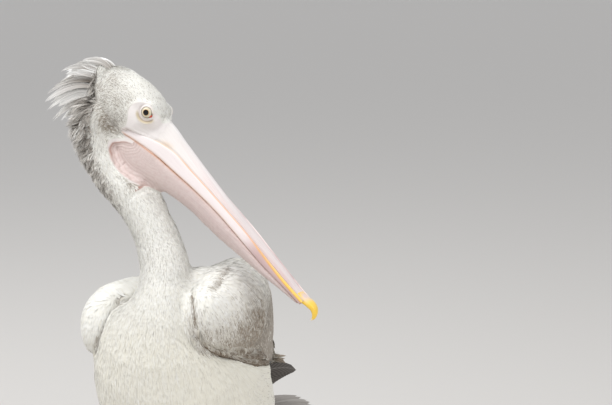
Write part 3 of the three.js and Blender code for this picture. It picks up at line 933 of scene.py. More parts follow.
def makeSkinMaterial():
    made, tree, shader = newMaterial("bareSkin", Roughness=0.48, Specular_IOR_Level=0.4)
    tint = skinColours
    grain = useGroup(tree, grainGroup, {"Scale": 260.0, "Stretch": 1.6, "Detail": 4.0})["Value"]
    fine = useGroup(tree, grainGroup, {"Scale": 1400.0, "Stretch": 1.0, "Detail": 2.0})["Value"]
    lines = useGroup(tree, linesGroup, {"Lengthwise": painted(tree, "lengthwise"),
                                        "Across": painted(tree, "acrossway"), "Fineness": 1.1})["Value"]
    face = blendColour(tree, maths(tree, "MULTIPLY", grain, 0.55, True), tint["face"], tint["faceShade"])
    far = between(tree, painted(tree, "lengthwise"), 60.0, 150.0)
    pouch = blendColour(tree, maths(tree, "MULTIPLY", grain, 0.4, True), tint["pouch"], tint["face"])
    striped = blendColour(tree, maths(tree, "MULTIPLY", lines, 0.75), tint["throat"], tint["pouchDeep"])
    striped = blendColour(tree, maths(tree, "MULTIPLY", grain, 0.35, True), striped, tint["face"])
    pouch = blendColour(tree, maths(tree, "MULTIPLY", far, 0.8), pouch, striped)
    colour = blendColour(tree, painted(tree, "pouch"), face, pouch)
    # 'crease' lays painted shade into the folds
    for mark, share in (("shade", 0.85), ("olive", 0.75), ("crease", 0.7), ("border", 0.85), ("rust", 0.75)):
        colour = blendColour(tree, maths(tree, "MULTIPLY", painted(tree, mark), share), colour, tint[mark])
    down = blendColour(tree, painted(tree, "warm"), tint["down"], tint["cream"])
    down = blendColour(tree, painted(tree, "tone"), down, tint["brown"])
    colour = blendColour(tree, painted(tree, "bare"), down, colour)
    link(tree, colour, shader.inputs["Base Color"])
    height = maths(tree, "ADD", maths(tree, "MULTIPLY", fine, 0.5),
                   maths(tree, "MULTIPLY", lines, maths(tree, "MULTIPLY", painted(tree, "pouch"), 0.9)))
    bumpInto(tree, shader, height, 0.35, 0.0006)
    return made


skinMaterial = makeSkinMaterial()
normalsOf(skinPoints)
paint(skinMesh, **skinMarks)
addPiece("skin", skinMesh, skinMaterial, (
    "trunk", "neck_upper", "neck_lower", "head", "pouch", "wing_left", "wing_right",
    "thigh_left", "thigh_right"))

# 'ridge' is a painted highlight along the top of the culmen; its pale colour also tints the grain flecks
billColours = {
    "near": (0.85, 0.77, 0.74), "far": (0.74, 0.58, 0.55), "line": (0.52, 0.36, 0.36),
    "ridge": (0.90, 0.86, 0.84), "band": (0.88, 0.80, 0.79), "peach": (0.80, 0.46, 0.28),
    "orange": (0.78, 0.33, 0.10), "yellow": (0.92, 0.62, 0.10), "amber": (0.72, 0.34, 0.05),
    "under": (0.60, 0.44, 0.42), "tan": (0.66, 0.45, 0.25), "tip": (0.86, 0.78, 0.62),
}


def billMarks(coords):
    s, y, t = coords.T
    g, m, c = t - billLine("groove", s), t - billLine("mouth", s), billLine("culmen", s) - t
    outer = np.abs(y) > 0.55 * billLine("halfWidth", s)
    late = fade(215, 310, s)
    wide = 0.4 + 1.7 * late
    yellow = fade(-1.6 - wide, -0.8 - wide * 0.55, g) * fade(0.5 + wide * 0.1, -0.3, g) * late * outer
    ragged = 0.35 * np.sin(s * 0.9) + 0.3 * np.sin(s * 2.3)
    yellow *= fade(0.6 + wide * 0.1, -0.2, g + ragged * 0.6)
    thread = bell(g, -0.7, 0.7) * outer * (1 - 0.8 * fade(230, 320, s))
    amber = bell(g, -wide - 0.9, 0.8) * fade(215, 260, s) * outer
    stain = 0.8 * bell(s, 50, 9) * bell(g, 2.2, 3.2) * outer
    return {
        "lengthwise": s, "acrossway": c + np.abs(y) * 0.6, "yellow": yellow, "amber": amber,
        "orange": thread * fade(62, 100, s), "tan": thread * fade(112, 80, s) * 0.9 + stain,
        # painted highlight along the culmen's top
        "ridge": bell(c, 0, 0.8), "band": fade(0.3, -1.2, g) * fade(250, 200, s) * outer,
        "peach": bell(m, 0.6, 1.5) * fade(240, 190, s) * outer,
        "under": fade(-0.5, -3.0, g) * fade(215, 250, s) * outer,
    }


def makeBillMaterial():
    made, tree, shader = newMaterial("billHorn", Roughness=0.36, Specular_IOR_Level=0.45)
    tint = billColours
    lines = useGroup(tree, linesGroup, {"Lengthwise": painted(tree, "lengthwise"),
                                        "Across": painted(tree, "acrossway"), "Fineness": 1.3})["Value"]
    grain = useGroup(tree, grainGroup, {"Scale": 180.0, "Stretch": 1.4, "Detail": 4.0})["Value"]
    start = between(tree, painted(tree, "lengthwise"), 25.0, 130.0)
    colour = blendColour(tree, start, skinColours["face"], tint["near"])
    colour = blendColour(tree, between(tree, painted(tree, "lengthwise"), 110.0, 300.0), colour, tint["far"])
    faint = maths(tree, "MULTIPLY", lines, between(tree, painted(tree, "lengthwise"), 20.0, 260.0, 0.12, 0.6))
    colour = blendColour(tree, faint, colour, tint["line"])
    colour = blendColour(tree, maths(tree, "MULTIPLY", painted(tree, "band"), 0.85), colour, tint["band"])
    dim = blendColour(tree, maths(tree, "MULTIPLY", lines, 0.5), tint["under"], tint["line"])
    colour = blendColour(tree, painted(tree, "under"), colour, dim)
    # 'ridge' lays the painted highlight along the culmen
    for mark, share in (("ridge", 0.5), ("peach", 0.45), ("tan", 0.6), ("orange", 0.7), ("yellow", 0.95),
                        ("amber", 0.75)):
        colour = blendColour(tree, maths(tree, "MULTIPLY", painted(tree, mark), share), colour, tint[mark])
    colour = blendColour(tree, between(tree, grain, 0.62, 0.95, 0.0, 0.35), colour, tint["ridge"])
    link(tree, colour, shader.inputs["Base Color"])
    rough = between(tree, grain, 0.2, 0.8, 0.30, 0.48)
    link(tree, rough, shader.inputs["Roughness"])
    height = maths(tree, "ADD", maths(tree, "MULTIPLY", lines, 0.8), maths(tree, "MULTIPLY", grain, 0.4))
    bumpInto(tree, shader, height, 0.3, 0.0005)
    return made


billMaterial = makeBillMaterial()
billMesh = meshFrom("upperBill", fromHead(upperPoints), upperFaces)
paint(billMesh, **billMarks(upperPoints))
addPiece("upperBill", billMesh, billMaterial, ("upper_bill", "lower_bill"))

# nail: the hooked yellow plate at the end of the bill
nailPlan = {
    "path": [(320, 11.6), (331, 14.0), (340, 16.6), (347.5, 16.8), (353.2, 13.8), (356.8, 8.6), (357.2, 3.6)],
    "half": [(0, 12.0), (0.28, 11.0), (0.5, 9.0), (0.66, 6.6), (0.8, 4.4), (0.92, 2.4), (1, 0.7)],
    "deep": [(0, 4.4), (0.28, 4.8), (0.5, 5.0), (0.66, 4.2), (0.8, 3.1), (0.92, 1.9), (1, 0.6)],
    "rings": 40, "around": 32, "colour": (0.95, 0.60, 0.04), "mottle": (0.88, 0.68, 0.25),
}


def nailMesh():
    path = throughPoints(nailPlan["path"], nailPlan["rings"])
    heading = unit(np.gradient(path, axis=0))
    turns = np.linspace(0, 2 * math.pi, nailPlan["around"], endpoint=False)
    rings = []
    for share, (s, t), (ds, dt) in zip(np.linspace(0, 1, len(path)), path, heading):
        half, deep = along(nailPlan["half"], share), along(nailPlan["deep"], share)
        y = half * np.sign(np.cos(turns)) * np.abs(np.cos(turns)) ** 0.85
        up = deep * np.sign(np.sin(turns)) * np.abs(np.sin(turns)) ** 0.8
        rings.append(np.stack([s - dt * up, y, t + ds * up], 1))
    return loft(rings)


def makeNailMaterial():
    made, tree, shader = newMaterial("nailHorn", Roughness=0.3, Specular_IOR_Level=0.5)
    grain = useGroup(tree, grainGroup, {"Scale": 300.0, "Stretch": 1.5, "Detail": 4.0})["Value"]
    mottle = maths(tree, "MULTIPLY", grain, 0.4, True)
    colour = blendColour(tree, mottle, nailPlan["colour"], nailPlan["mottle"])
    colour = blendColour(tree, painted(tree, "start"), colour, billColours["far"])
    colour = blendColour(tree, painted(tree, "under"), colour, billColours["amber"])
    colour = blendColour(tree, painted(tree, "tip"), colour, billColours["tip"])
    link(tree, colour, shader.inputs["Base Color"])
    bumpInto(tree, shader, grain, 0.25, 0.0005)
    return made


nailPoints, nailFaces = nailMesh()
nail = meshFrom("nail", fromHead(nailPoints), nailFaces)
nailS, nailT = nailPoints[:, 0], nailPoints[:, 2]
paint(nail, start=fade(342, 326, nailS) * fade(15, 18, nailT),
      under=fade(13, 8.5, nailT) * fade(351, 342, nailS) * 0.7,
      tip=fade(9, 4.5, nailT) * fade(350, 353, nailS) * 0.75)
addPiece("billNail", nail, makeNailMaterial(), ("bill_nail",))

# eyes: ball, wet lids, red corner
eyePlan = {"rings": 34, "around": 64, "bulge": 0.35, "rimTube": 0.75, "rimAround": 12, "sections": 72}
cornerPlan = {"turnedBack": 8, "at": 8.3, "reach": 1.2, "height": 0.5, "spread": 17, "rings": 13,
              "around": 14}
eyeColours = {
    "pupil": (0.004, 0.004, 0.005), "innerRing": (0.55, 0.30, 0.10), "iris": (0.72, 0.66, 0.52),
    "irisStreak": (0.50, 0.40, 0.24), "outerRingAndLidShade": (0.10, 0.07, 0.04), "ball": (0.35, 0.28, 0.26),
    "lid": (0.84, 0.78, 0.72), "lidMottle": (0.66, 0.54, 0.46), "lidEdge": (0.30, 0.20, 0.11),
    "corner": (0.62, 0.07, 0.03), "cornerMottle": (0.40, 0.05, 0.04),
}


def eyePoint(side, across, height, angle):  # back from distance, height and degrees to a place
    out, ahead, up = eyeFrame(side)
    turn = np.radians(angle)[..., None]
    flat = (ahead * np.cos(turn) + up * np.sin(turn)) * np.asarray(across)[..., None]
    return eyeMiddles[side] + (flat + out * np.asarray(height)[..., None]) * mm


def makeEyeMaterial():
    made, tree, shader = newMaterial("eyeBall", Roughness=0.25, Specular_IOR_Level=0.2, Coat_Weight=0.35,
                                     Coat_Roughness=0.03)
    reach, tint = painted(tree, "reach"), eyeColours
    streak = useGroup(tree, linesGroup, {"Lengthwise": reach, "Across": painted(tree, "turn"),
                                         "Fineness": 9.0})["Value"]
    iris = blendColour(tree, maths(tree, "MULTIPLY", streak, 0.6), tint["iris"], tint["irisStreak"])
    iris = blendColour(tree, between(tree, reach, 4.8, 4.1), iris, tint["innerRing"])
    # dark ring at the iris's edge: partly the iris's dark outer edge, partly painted shade under the lid rim
    iris = blendColour(tree, between(tree, reach, 6.9, 7.7), iris, tint["outerRingAndLidShade"])
    colour = blendColour(tree, between(tree, reach, 3.85, 4.05), tint["pupil"], iris)
    colour = blendColour(tree, between(tree, reach, 8.0, 8.4), colour, tint["ball"])
    link(tree, colour, shader.inputs["Base Color"])
    bumpInto(tree, shader, streak, 0.05, 0.0002)
    return made


eyeMaterial = makeEyeMaterial()


def buildEye(side):
    rings = []
    for share in np.linspace(0.004, 0.995, eyePlan["rings"]):
        tilt = share * math.pi
        turns = np.linspace(0, 360, eyePlan["around"], endpoint=False)
        across = skinPlan["eyeRadius"] * math.sin(tilt)
        height = skinPlan["eyeRadius"] * math.cos(tilt)
        if share < 0.5:
            height += eyePlan["bulge"] * math.exp(-(across / 5.2) ** 2)
        rings.append(eyePoint(side, np.full(len(turns), across), np.full(len(turns), height), turns))
    points, faces = loft(rings)
    mesh = meshFrom("eyeball_" + side, points, faces)
    across, height, angle = eyePlace(points, side)
    paint(mesh, reach=np.where(height > 0, across, 12), turn=np.sin(np.radians(angle * 3)) + angle / 60)
    addPiece("eyeball_" + side, mesh, eyeMaterial, ("eye_" + side,))


def makeLidMaterial():
    made, tree, shader = newMaterial("lidRim", Roughness=0.34, Coat_Weight=0.3)
    grain = useGroup(tree, grainGroup, {"Scale": 700.0, "Stretch": 1.5, "Detail": 3.0})["Value"]
    mottle = maths(tree, "MULTIPLY", grain, 0.5, True)
    colour = blendColour(tree, mottle, eyeColours["lid"], eyeColours["lidMottle"])
    colour = blendColour(tree, painted(tree, "inner"), colour, eyeColours["lidEdge"])
    link(tree, colour, shader.inputs["Base Color"])
    bumpInto(tree, shader, grain, 0.2, 0.0003)
    return made


lidMaterial = makeLidMaterial()


def buildLid(side):  # a thick rounded edge lying on the ball all round the opening
    angles = np.linspace(-180, 180, eyePlan["sections"], endpoint=False)
    turns = np.linspace(0, 2 * math.pi, eyePlan["rimAround"], endpoint=False)
    points, inner = [], []
    for angle in angles:
        edge = lidOpening(angle) + 0.55
        thick = eyePlan["rimTube"] * (1.0 + 0.25 * math.cos(math.radians(angle - 80)))
        across = edge + thick * 1.15 * np.cos(turns)
        rest = math.sqrt(max((skinPlan["eyeRadius"] + 0.35) ** 2 - edge ** 2, 4.0))
        height = rest + thick * np.sin(turns) + 0.2
        points.append(eyePoint(side, across, height, np.full(len(turns), angle)))
        inner.append(fade(-0.35, -0.95, np.cos(turns)))
    rings, around = len(angles), len(turns)
    r, a = np.meshgrid(np.arange(rings), np.arange(around), indexing="ij")
    n, q = (a + 1) % around, (r + 1) % rings
    quads = np.stack([r * around + a, r * around + n, q * around + n, q * around + a], -1).reshape(-1, 4)
    if side == "left":
        quads = quads[:, ::-1]
    mesh = meshFrom("lid_" + side, np.concatenate(points), quads)
    paint(mesh, inner=np.concatenate(inner))
    addPiece("lid_" + side, mesh, lidMaterial)


def makeCornerMaterial():
    made, tree, shader = newMaterial("eyeCorner", Roughness=0.25, Coat_Weight=0.6)
    grain = useGroup(tree, grainGroup, {"Scale": 900.0, "Stretch": 1.5, "Detail": 3.0})["Value"]
    mottle = maths(tree, "MULTIPLY", grain, 0.5, True)
    colour = blendColour(tree, mottle, eyeColours["corner"], eyeColours["cornerMottle"])
    link(tree, colour, shader.inputs["Base Color"])
    bumpInto(tree, shader, grain, 0.3, 0.0003)
    return made


cornerMaterial = makeCornerMaterial()


def buildCorner(side):  # small red cushion in the corner towards the bill
    plan, rings = cornerPlan, []
    for share in np.linspace(-1, 1, plan["rings"]):
        size = math.sqrt(max(1 - share * share, 0.002))
        turns = np.linspace(0, 2 * math.pi, plan["around"], endpoint=False)
        across = plan["at"] + plan["reach"] * share + 0 * turns
        height = np.sqrt((skinPlan["eyeRadius"]
                          + 0.1) ** 2 - across ** 2) + plan["height"] * size * np.sin(turns)
        swing = plan["spread"] * size * (1 - 0.35 * share) * np.cos(turns)
        rings.append(eyePoint(side, across, height, lidPlan["cornerAngle"] - plan["turnedBack"] + swing))
    points, faces = loft(rings)
    mesh = meshFrom("eyeCorner_" + side, points, faces)
    bm = bmesh.new()
    bm.from_mesh(mesh)
    bmesh.ops.recalc_face_normals(bm, faces=bm.faces)
    bm.to_mesh(mesh)
    bm.free()
    mesh.shade_smooth()
    addPiece("eyeCorner_" + side, mesh, cornerMaterial)


for side in eyeSides:
    buildEye(side)
    buildLid(side)
    buildCorner(side)
print("bill and eyes done")


# which way feathers lie at each place of the skin
def neckLine():  # middle of the neck at each height
    points = np.concatenate([nodeMesh(name)[0] for name in ("neck_upper", "neck_lower")])
    levels = np.arange(points[:, 2].min() + 0.02, points[:, 2].max() - 0.02, 0.02)
    middles = [points[np.abs(points[:, 2] - z) < 0.022].mean(0) for z in levels]
    return np.array(middles)


def neckDown(points):
    z = neckMiddles[:, 2]
    steps = np.gradient(neckMiddles, z, axis=0)
    return unit(-np.stack([np.interp(points[:, 2], z, steps[:, c]) for c in range(3)], 1))


def napeShare(points):  # 1 at the back of the upper neck and the hind head, 0 at the front
    z = np.clip(points[:, 2], neckMiddles[0, 2], neckMiddles[-1, 2])
    middle = np.stack([np.interp(z, neckMiddles[:, 2], neckMiddles[:, c]) for c in range(3)], 1)
    turned = dot(unit((points - middle) * (1, 1, 0)), np.broadcast_to(napeWay, points.shape))
    under = fade(-24, -50, toHead(points)[:, 2])
    high = fade(manePlan["end"] - 0.04, manePlan["end"] + 0.03, points[:, 2])
    return fade(0.15, 0.7, turned) * high * under


def lowOf(node, axis):
    return float(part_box(node)[0][axis])


def highOf(node, axis):
    return float(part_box(node)[1][axis])


neckMiddles = neckLine()
napeWay = unit(-billAhead * (1, 1, 0))  # level, away from the bill
manePlan = {  # grows above the height "end", and longer from the height "low" up to "high"
    "end": 0.545, "low": 0.58, "high": 0.66, "tuft": 7, "gather": 0.7, "spacing": 1.9, "length": 12.5,
    "width": 1.45, "rise": 8.0, "steps": 5, "sway": 0.4, "pale": 0.34, "seed": 21,
}
flowPlan = {"breastFan": 2.2, "backDrop": 0.16, "wingBack": 0.3, "wingAside": 0.22, "napeOut": 1.1}


def coatFlow(points, normals):
    ahead = np.array([0, -1.0, 0])
    down = np.array([0, 0, -1.0])
    low, high = (np.array(c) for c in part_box("trunk"))
    middle = (low + high) / 2
    flow = np.tile(down, (len(points), 1))
    trunk = ownedBy("trunk")
    front = fade(0.35, -0.55, normals[:, 1])[:, None]  # 1 where the skin faces forward
    front = np.maximum(front, fade(low[1] + 0.11, low[1] + 0.04, points[:, 1])[:, None])
    fan = np.zeros_like(points)
    fan[:, 0] = (points[:, 0] - middle[0]) * flowPlan["breastFan"]
    chest = down + fan
    rear = -ahead + down * flowPlan["backDrop"]
    flow[trunk] = (chest * front + rear * (1 - front))[trunk]
    neck = ownedBy("neck")
    flow[neck] = (neckDown(points) + napeWay * napeShare(points)[:, None] * flowPlan["napeOut"])[neck]
    s, y, t = toHead(points).T
    head = ownedBy("head") | ownedBy("throat")
    turn = fade(-45, -85, s)[:, None]
    under = fade(-30, -75, t)[:, None]
    fall = neckDown(points)
    flow[head] = (-billAhead * (1 - turn) + fall * np.maximum(turn, under * 0.8))[head]
    for side, sign in eyeSides.items():
        wing = ownedBy("wing_" + side)
        top = fade(0.35, 0.9, normals[:, 2])[:, None]
        rear = fade(lowOf("wing_" + side, 1) + 0.10, lowOf("wing_" + side, 1) + 0.24, points[:, 1])[:, None]
        lie = down * (1 - 0.9 * top) - ahead * (flowPlan["wingBack"] + 1.1 * rear)
        lie = lie + np.array([sign, 0, 0]) * (flowPlan["wingAside"] + 1.1 * top * (1 - rear))
        flow[wing] = lie[wing]
        flow[ownedBy("thigh_" + side)] = down - ahead * 0.25
    return flow


skinNormals = spread(meshNormals(skinMesh), skinEdges, 1)
skinFlow = coatFlow(skinPoints, skinNormals)
for turn in range(12):
    skinFlow = skinFlow - skinNormals * dot(skinFlow, skinNormals)[:, None]
    skinFlow = unit(spread(unit(skinFlow), skinEdges, 4))

# markings, the same for skin and coat: tone runs from white (0) to dark grey-brown (1), warm from white to
# cream
markPlan = {
    "cheek": 0.20, "brow": 0.05, "ear": 0.85, "earAt": (-28, -64), "earReach": (13, 9), "nape": 0.42,
    "napeSpeck": 0.8, "neck": 0.05, "neckTop": 0.10, "notch": 0.95, "notchAt": (65, -82),
    "notchReach": (6.5, 8), "fringe": 0.45, "throatSpeck": 0.12, "belly": 0.05,
    "wing": {"left": 1.0, "right": 0.35}, "wingFront": 0.22, "wingUnder": 0.60, "wingMost": 0.86, "seed": 31,
}


def roundSpot(s, t, middle, reach):  # 1 in the middle of an oval on the head, falling to 0 round it
    return bell(np.hypot((s - middle[0]) / reach[0], (t - middle[1]) / reach[1]), 0, 1)


def skinMarkings(points):
    s, y, t = toHead(points).T
    head, neck, trunk = ownedBy("head"), ownedBy("neck"), ownedBy("trunk")
    tone, speck = np.zeros(len(points)), np.zeros(len(points))
    patchy, broad = ripple(points, 0.012, markPlan["seed"]), ripple(points, 0.03, markPlan["seed"] + 1)
    cheek = fade(-90, -66, s) * fade(12, -14, s) * fade(4, -14, t) * fade(-80, -60, t)
    ear = roundSpot(s, t, markPlan["earAt"], markPlan["earReach"])
    brow = bell(s, -30, 26) * fade(8, 16, t)
    cheek = cheek * (head | neck)
    tone += markPlan["cheek"] * cheek * (0.75 + 0.4 * patchy) + markPlan["brow"] * brow * head
    speck += np.maximum(cheek * (0.62 + 0.25 * patchy), 0.10 * head * fade(-4, -16, t))
    tone += (head | neck) * ear
    speck = np.maximum(speck, (head | neck) * ear * markPlan["ear"])
    notch = roundSpot(s, t, markPlan["notchAt"], markPlan["notchReach"]) * (neck | ownedBy("throat"))
    fringe = bell(lineDistance(s, t, pouchBorder), 3, 2.5) * fade(36, 48, s) * fade(78, 66, s) * neck
    tone += neck * markPlan["neck"]
    speck += neck * (0.14 + 0.08 * patchy + 0.16 * fade(0.56, 0.62, points[:, 2])) * (1 - ear) * (1 - cheek)
    tone += markPlan["neckTop"] * neck * fade(0.57, 0.62, points[:, 2])
    nape = napeShare(points) * (head | neck)
    tone = np.maximum.reduce([tone, nape * markPlan["nape"], markPlan["notch"] * notch,
                              markPlan["fringe"] * fringe])
    speck = np.maximum(speck, nape * markPlan["napeSpeck"])
    throat = trunk * fade(0.34, 0.43, points[:, 2]) * fade(0.0, -0.08, points[:, 1])
    speck = np.maximum(speck, throat * markPlan["throatSpeck"])
    warm = np.where(trunk, 0.8 + 0.35 * fade(0.02, 0.09, points[:, 0]), 0.3) - 0.4 * throat
    tone += markPlan["belly"] * trunk * fade(0.03, 0.09, points[:, 0]) * fade(0.33, 0.29, points[:, 2])
    for side, full in markPlan["wing"].items():
        name = "wing_" + side
        wing = ownedBy(name)
        back = fade(lowOf(name, 1) + 0.06, lowOf(name, 1) + 0.20, points[:, 1])
        drop = fade(highOf(name, 2) - 0.07, highOf(name, 2) - 0.125, points[:, 2])
        share = np.clip(0.75 * drop + 0.75 * back, 0, 1) * np.clip(0.85 + 0.2 * broad + 0.25 * patchy, 0, 1.1)
        # darker where the wing's lower part meets the body: the dark covert edges there, with painted shade
        # where the wing overhangs
        margin = nearness(wing, trunk, 6) * fade(highOf(name, 2) - 0.03, highOf(name, 2) - 0.11, points[:, 2])
        early = fade(lowOf(name, 1) + 0.025, lowOf(name, 1) + 0.095, points[:, 1])
        early = early * fade(0, -0.05, points[:, 2] - highOf(name, 2))
        under = fade(highOf(name, 2) - 0.03, highOf(name, 2) - 0.09, points[:, 2]) ** 1.5
        brown = markPlan["wingFront"] * early + markPlan["wingUnder"] * under * (0.55 + 0.45 * early)
        brown = np.clip(brown, 0, markPlan["wingMost"])
        brown = brown * np.clip(0.95 + 0.08 * broad + 0.12 * patchy, 0, 1.2)
        tone = np.where(wing, full * np.clip(brown + 0.1 * margin, 0, 1), tone)
        speck = np.where(wing, full * np.maximum(brown, 0.6 * margin), speck)
        warm = np.where(wing, 0.35 + 0.5 * share, warm)
    # painted shade along the fold lines
    for name, plan in foldLines.items():
        tone = np.maximum(tone, plan["tone"] * bell(foldGaps[name], 0, plan["thin"]))
    warm = np.where(ownedBy("thigh"), 0.6, warm)
    return (np.clip(spread(v, skinEdges, 2), 0, 1) for v in (tone, speck, warm))


skinTone, skinSpeck, skinWarm = skinMarkings(skinPoints)
paint(skinMesh, tone=np.clip(skinTone + 0.15 * skinSpeck, 0, 1), warm=skinWarm)

# size of the feathers at each place of the skin, in millimetres, passing smoothly from part to part
featherSizes = {  # length, width, how far the tip stands off, spacing
    "head": (5.0, 1.15, 1.3, 1.25), "throat": (5.0, 1.2, 1.2, 1.3), "neck": (7.0, 1.3, 1.9, 1.35),
    "trunk": (26.0, 2.5, 1.2, 2.5), "thigh": (16.0, 2.6, 2.6, 2.6), "wing": (24.0, 4.2, 2.5, 3.3),
}
patchSizes = {
    "lowerThroat": (9.0, 1.5, 2.0, 1.55), "rear": (34.0, 5.0, 3.4, 4.2), "hindCrown": (9.0, 1.3, 2.8, 1.3),
    "wingFront": (15.0, 3.0, 1.7, 2.4), "wingBack": (46.0, 10.0, 2.6, 6.0),
}


def mixed(sizes, patch, share):
    return sizes * (1 - share)[:, None] + np.array(patchSizes[patch]) * share[:, None]


def sizeField(points):
    out = np.zeros((len(points), 4))
    for part, sizes in featherSizes.items():
        out[ownedBy(part)] = sizes
    s, y, t = toHead(points).T
    small = ownedBy("trunk") * fade(0.33, 0.43, points[:, 2]) * fade(0.02, -0.06, points[:, 1])
    out = mixed(out, "lowerThroat", small)
    rear = ownedBy("trunk") * fade(-0.08, 0.02, points[:, 1])
    out = mixed(out, "rear", rear)
    hind = ownedBy("head") * fade(-74, -92, s) * fade(-50, -30, t)
    out = mixed(out, "hindCrown", hind)
    for side in eyeSides:
        name = "wing_" + side
        wing = ownedBy(name)
        early = wing * fade(lowOf(name, 1) + 0.09, lowOf(name, 1) + 0.02, points[:, 1])
        early = early * fade(lowOf(name, 2) + 0.05, lowOf(name, 2) + 0.12, points[:, 2])
        out = mixed(out, "wingFront", early)
        late = wing * fade(lowOf(name, 1) + 0.12, lowOf(name, 1) + 0.26, points[:, 1])
        out = mixed(out, "wingBack", late)
    return spread(out, skinEdges, 14)


skinSizes = sizeField(skinPoints)
skinMesh.calc_loop_triangles()
skinTris = np.zeros(len(skinMesh.loop_triangles) * 3, np.int32)
skinMesh.loop_triangles.foreach_get("vertices", skinTris)
skinTris = skinTris.reshape(-1, 3)
skinTree = BVHTree.FromPolygons(skinPoints.tolist(), skinTris.tolist())
triCorners = skinPoints[skinTris]
triMiddle = triCorners.mean(1)
triNormal = unit(skinNormals[skinTris].mean(1))
triFlow = unit(skinFlow[skinTris].mean(1))
triSides = triCorners[:, 1:] - triCorners[:, :1]
triArea = np.linalg.norm(np.cross(triSides[:, 0], triSides[:, 1]), axis=1) / 2
triOwner = skinOwner[skinTris[:, 0]]
triBare = skinBare[skinTris].mean(1)
triTone, triSpeck, triWarm = (v[skinTris].mean(1) for v in (skinTone, skinSpeck, skinWarm))
triSizes = skinSizes[skinTris].mean(1)
print("lie, markings and sizes done")


def triOwned(prefix):
    wanted = [i for i, name in enumerate(ownerNames) if name.startswith(prefix)]
    return np.isin(triOwner, wanted)


# even roots on the chosen triangles, spacing in millimetres for each triangle
def scatter(chosen, spacing, seed):
    draw = np.random.default_rng(seed)
    spacing = np.broadcast_to(np.asarray(spacing, float), triArea.shape) * mm
    level = 1.12 ** np.round(np.log(spacing) / np.log(1.12))
    share = triArea * chosen / level ** 2
    tri = draw.choice(len(share), int(share.sum() * 3.2), p=share / share.sum())
    u, v = draw.random(len(tri)), draw.random(len(tri))
    u, v = np.where(u + v > 1, 1 - u, u), np.where(u + v > 1, 1 - v, v)
    a, b, c = (skinPoints[skinTris[tri, k]] for k in range(3))
    points = a + (b - a) * u[:, None] + (c - a) * v[:, None]
    cell = np.column_stack([np.floor(points / level[tri][:, None]),
                            np.round(np.log(level[tri]) / np.log(1.12))])
    keep = np.unique(cell.astype(np.int64), axis=0, return_index=True)[1]
    keep.sort()
    return points[keep], tri[keep]


# walks each root along the lie, returns places, normals, ways
def combSpines(points, tris, lengths, steps, sway):
    place, normal, way = points.copy(), triNormal[tris].copy(), triFlow[tris].copy()
    way = np.cos(sway)[:, None] * way + np.sin(sway)[:, None] * np.cross(normal, way)
    owner = triOwner[tris]
    overhangs = triOwned("wing")[tris]
    places, normals, ways = [place], [normal], [way]
    leap = (lengths * mm / steps)[:, None]
    for turn in range(steps):
        goal = place + way * leap
        found = [skinTree.find_nearest(g) for g in goal.tolist()]
        landed = np.array([f[0] for f in found])
        tri = np.array([f[2] for f in found])
        newNormal = triNormal[tri]
        strayed = np.linalg.norm(landed - goal, axis=1) > leap[:, 0] * 0.8
        wrapped = (dot(newNormal, normals[0]) < 0.25) | strayed
        wrapped |= overhangs & (triOwner[tri] != owner)
        landed = np.where(wrapped[:, None], goal, landed)
        newNormal = np.where(wrapped[:, None], normal, newNormal)
        newWay = triFlow[tri]
        newWay = np.cos(sway)[:, None] * newWay + np.sin(sway)[:, None] * np.cross(newNormal, newWay)
        newWay = np.where(wrapped[:, None], way, newWay)
        place, normal, way = landed, unit(newNormal), unit(newWay * 0.6 + way * 0.4)
        places.append(place)
        normals.append(normal)
        ways.append(way)
    return np.stack(places, 1), np.stack(normals, 1), np.stack(ways, 1)


def featherPattern(rows, columns):  # template: places along and across one feather, and its triangles
    alongs, acrosses, tris = [0.0], [0.0], []
    sides = np.linspace(-1, 1, columns)
    for r in range(1, rows):
        alongs += [r / rows] * columns
        acrosses += list(sides)
    alongs.append(1.0)
    acrosses.append(0.0)
    tip = len(alongs) - 1
    for c in range(columns - 1):
        tris.append((0, 1 + c, 2 + c))
        for r in range(rows - 2):
            a = 1 + r * columns + c
            tris.append((a, a + columns, a + columns + 1))
            tris.append((a, a + columns + 1, a + 1))
        a = 1 + (rows - 2) * columns + c
        tris.append((a, tip, a + 1))
    return np.array(alongs), np.array(acrosses), np.array(tris)


def soften(mesh, normals, share):  # shades the feathers partly like the body under them, as soft plumage does
    own = meshNormals(mesh)
    own *= np.sign(dot(own, normals))[:, None]
    mesh.normals_split_custom_set_from_vertices(unit(own * (1 - share) + normals * share).tolist())


def buildFeathers(name, spines, normals, ways, widths, outline, columns, cup, values, patches, soft=0.0):
    count, knots = spines.shape[:2]
    rows = knots - 1
    alongs, acrosses, tris = featherPattern(rows, columns)
    row = np.round(alongs * rows).astype(int)
    sideways = unit(np.cross(normals, ways))
    wide = np.interp(alongs, *outline)[None, :] * widths[:, None] * mm / 2
    points = spines[:, row] + sideways[:, row] * (wide * acrosses)[..., None]
    points = points + normals[:, row] * (cup * wide * (1 - acrosses ** 2))[..., None]
    faces = tris[None] + (np.arange(count) * len(alongs))[:, None, None]
    mesh = meshFrom(name, points.reshape(-1, 3), faces.reshape(-1, 3))
    paint(mesh, along=np.tile(alongs, count), across=np.tile(acrosses, count),
          **{key: np.repeat(v, len(alongs)) for key, v in values.items()})
    patch = patches[:, None] + np.stack([acrosses * 0.0015, alongs * 0.003], 1)[None]
    addUv(mesh, patch.reshape(-1, 2))
    if soft:
        soften(mesh, normals[:, row].reshape(-1, 3), soft)
    return mesh


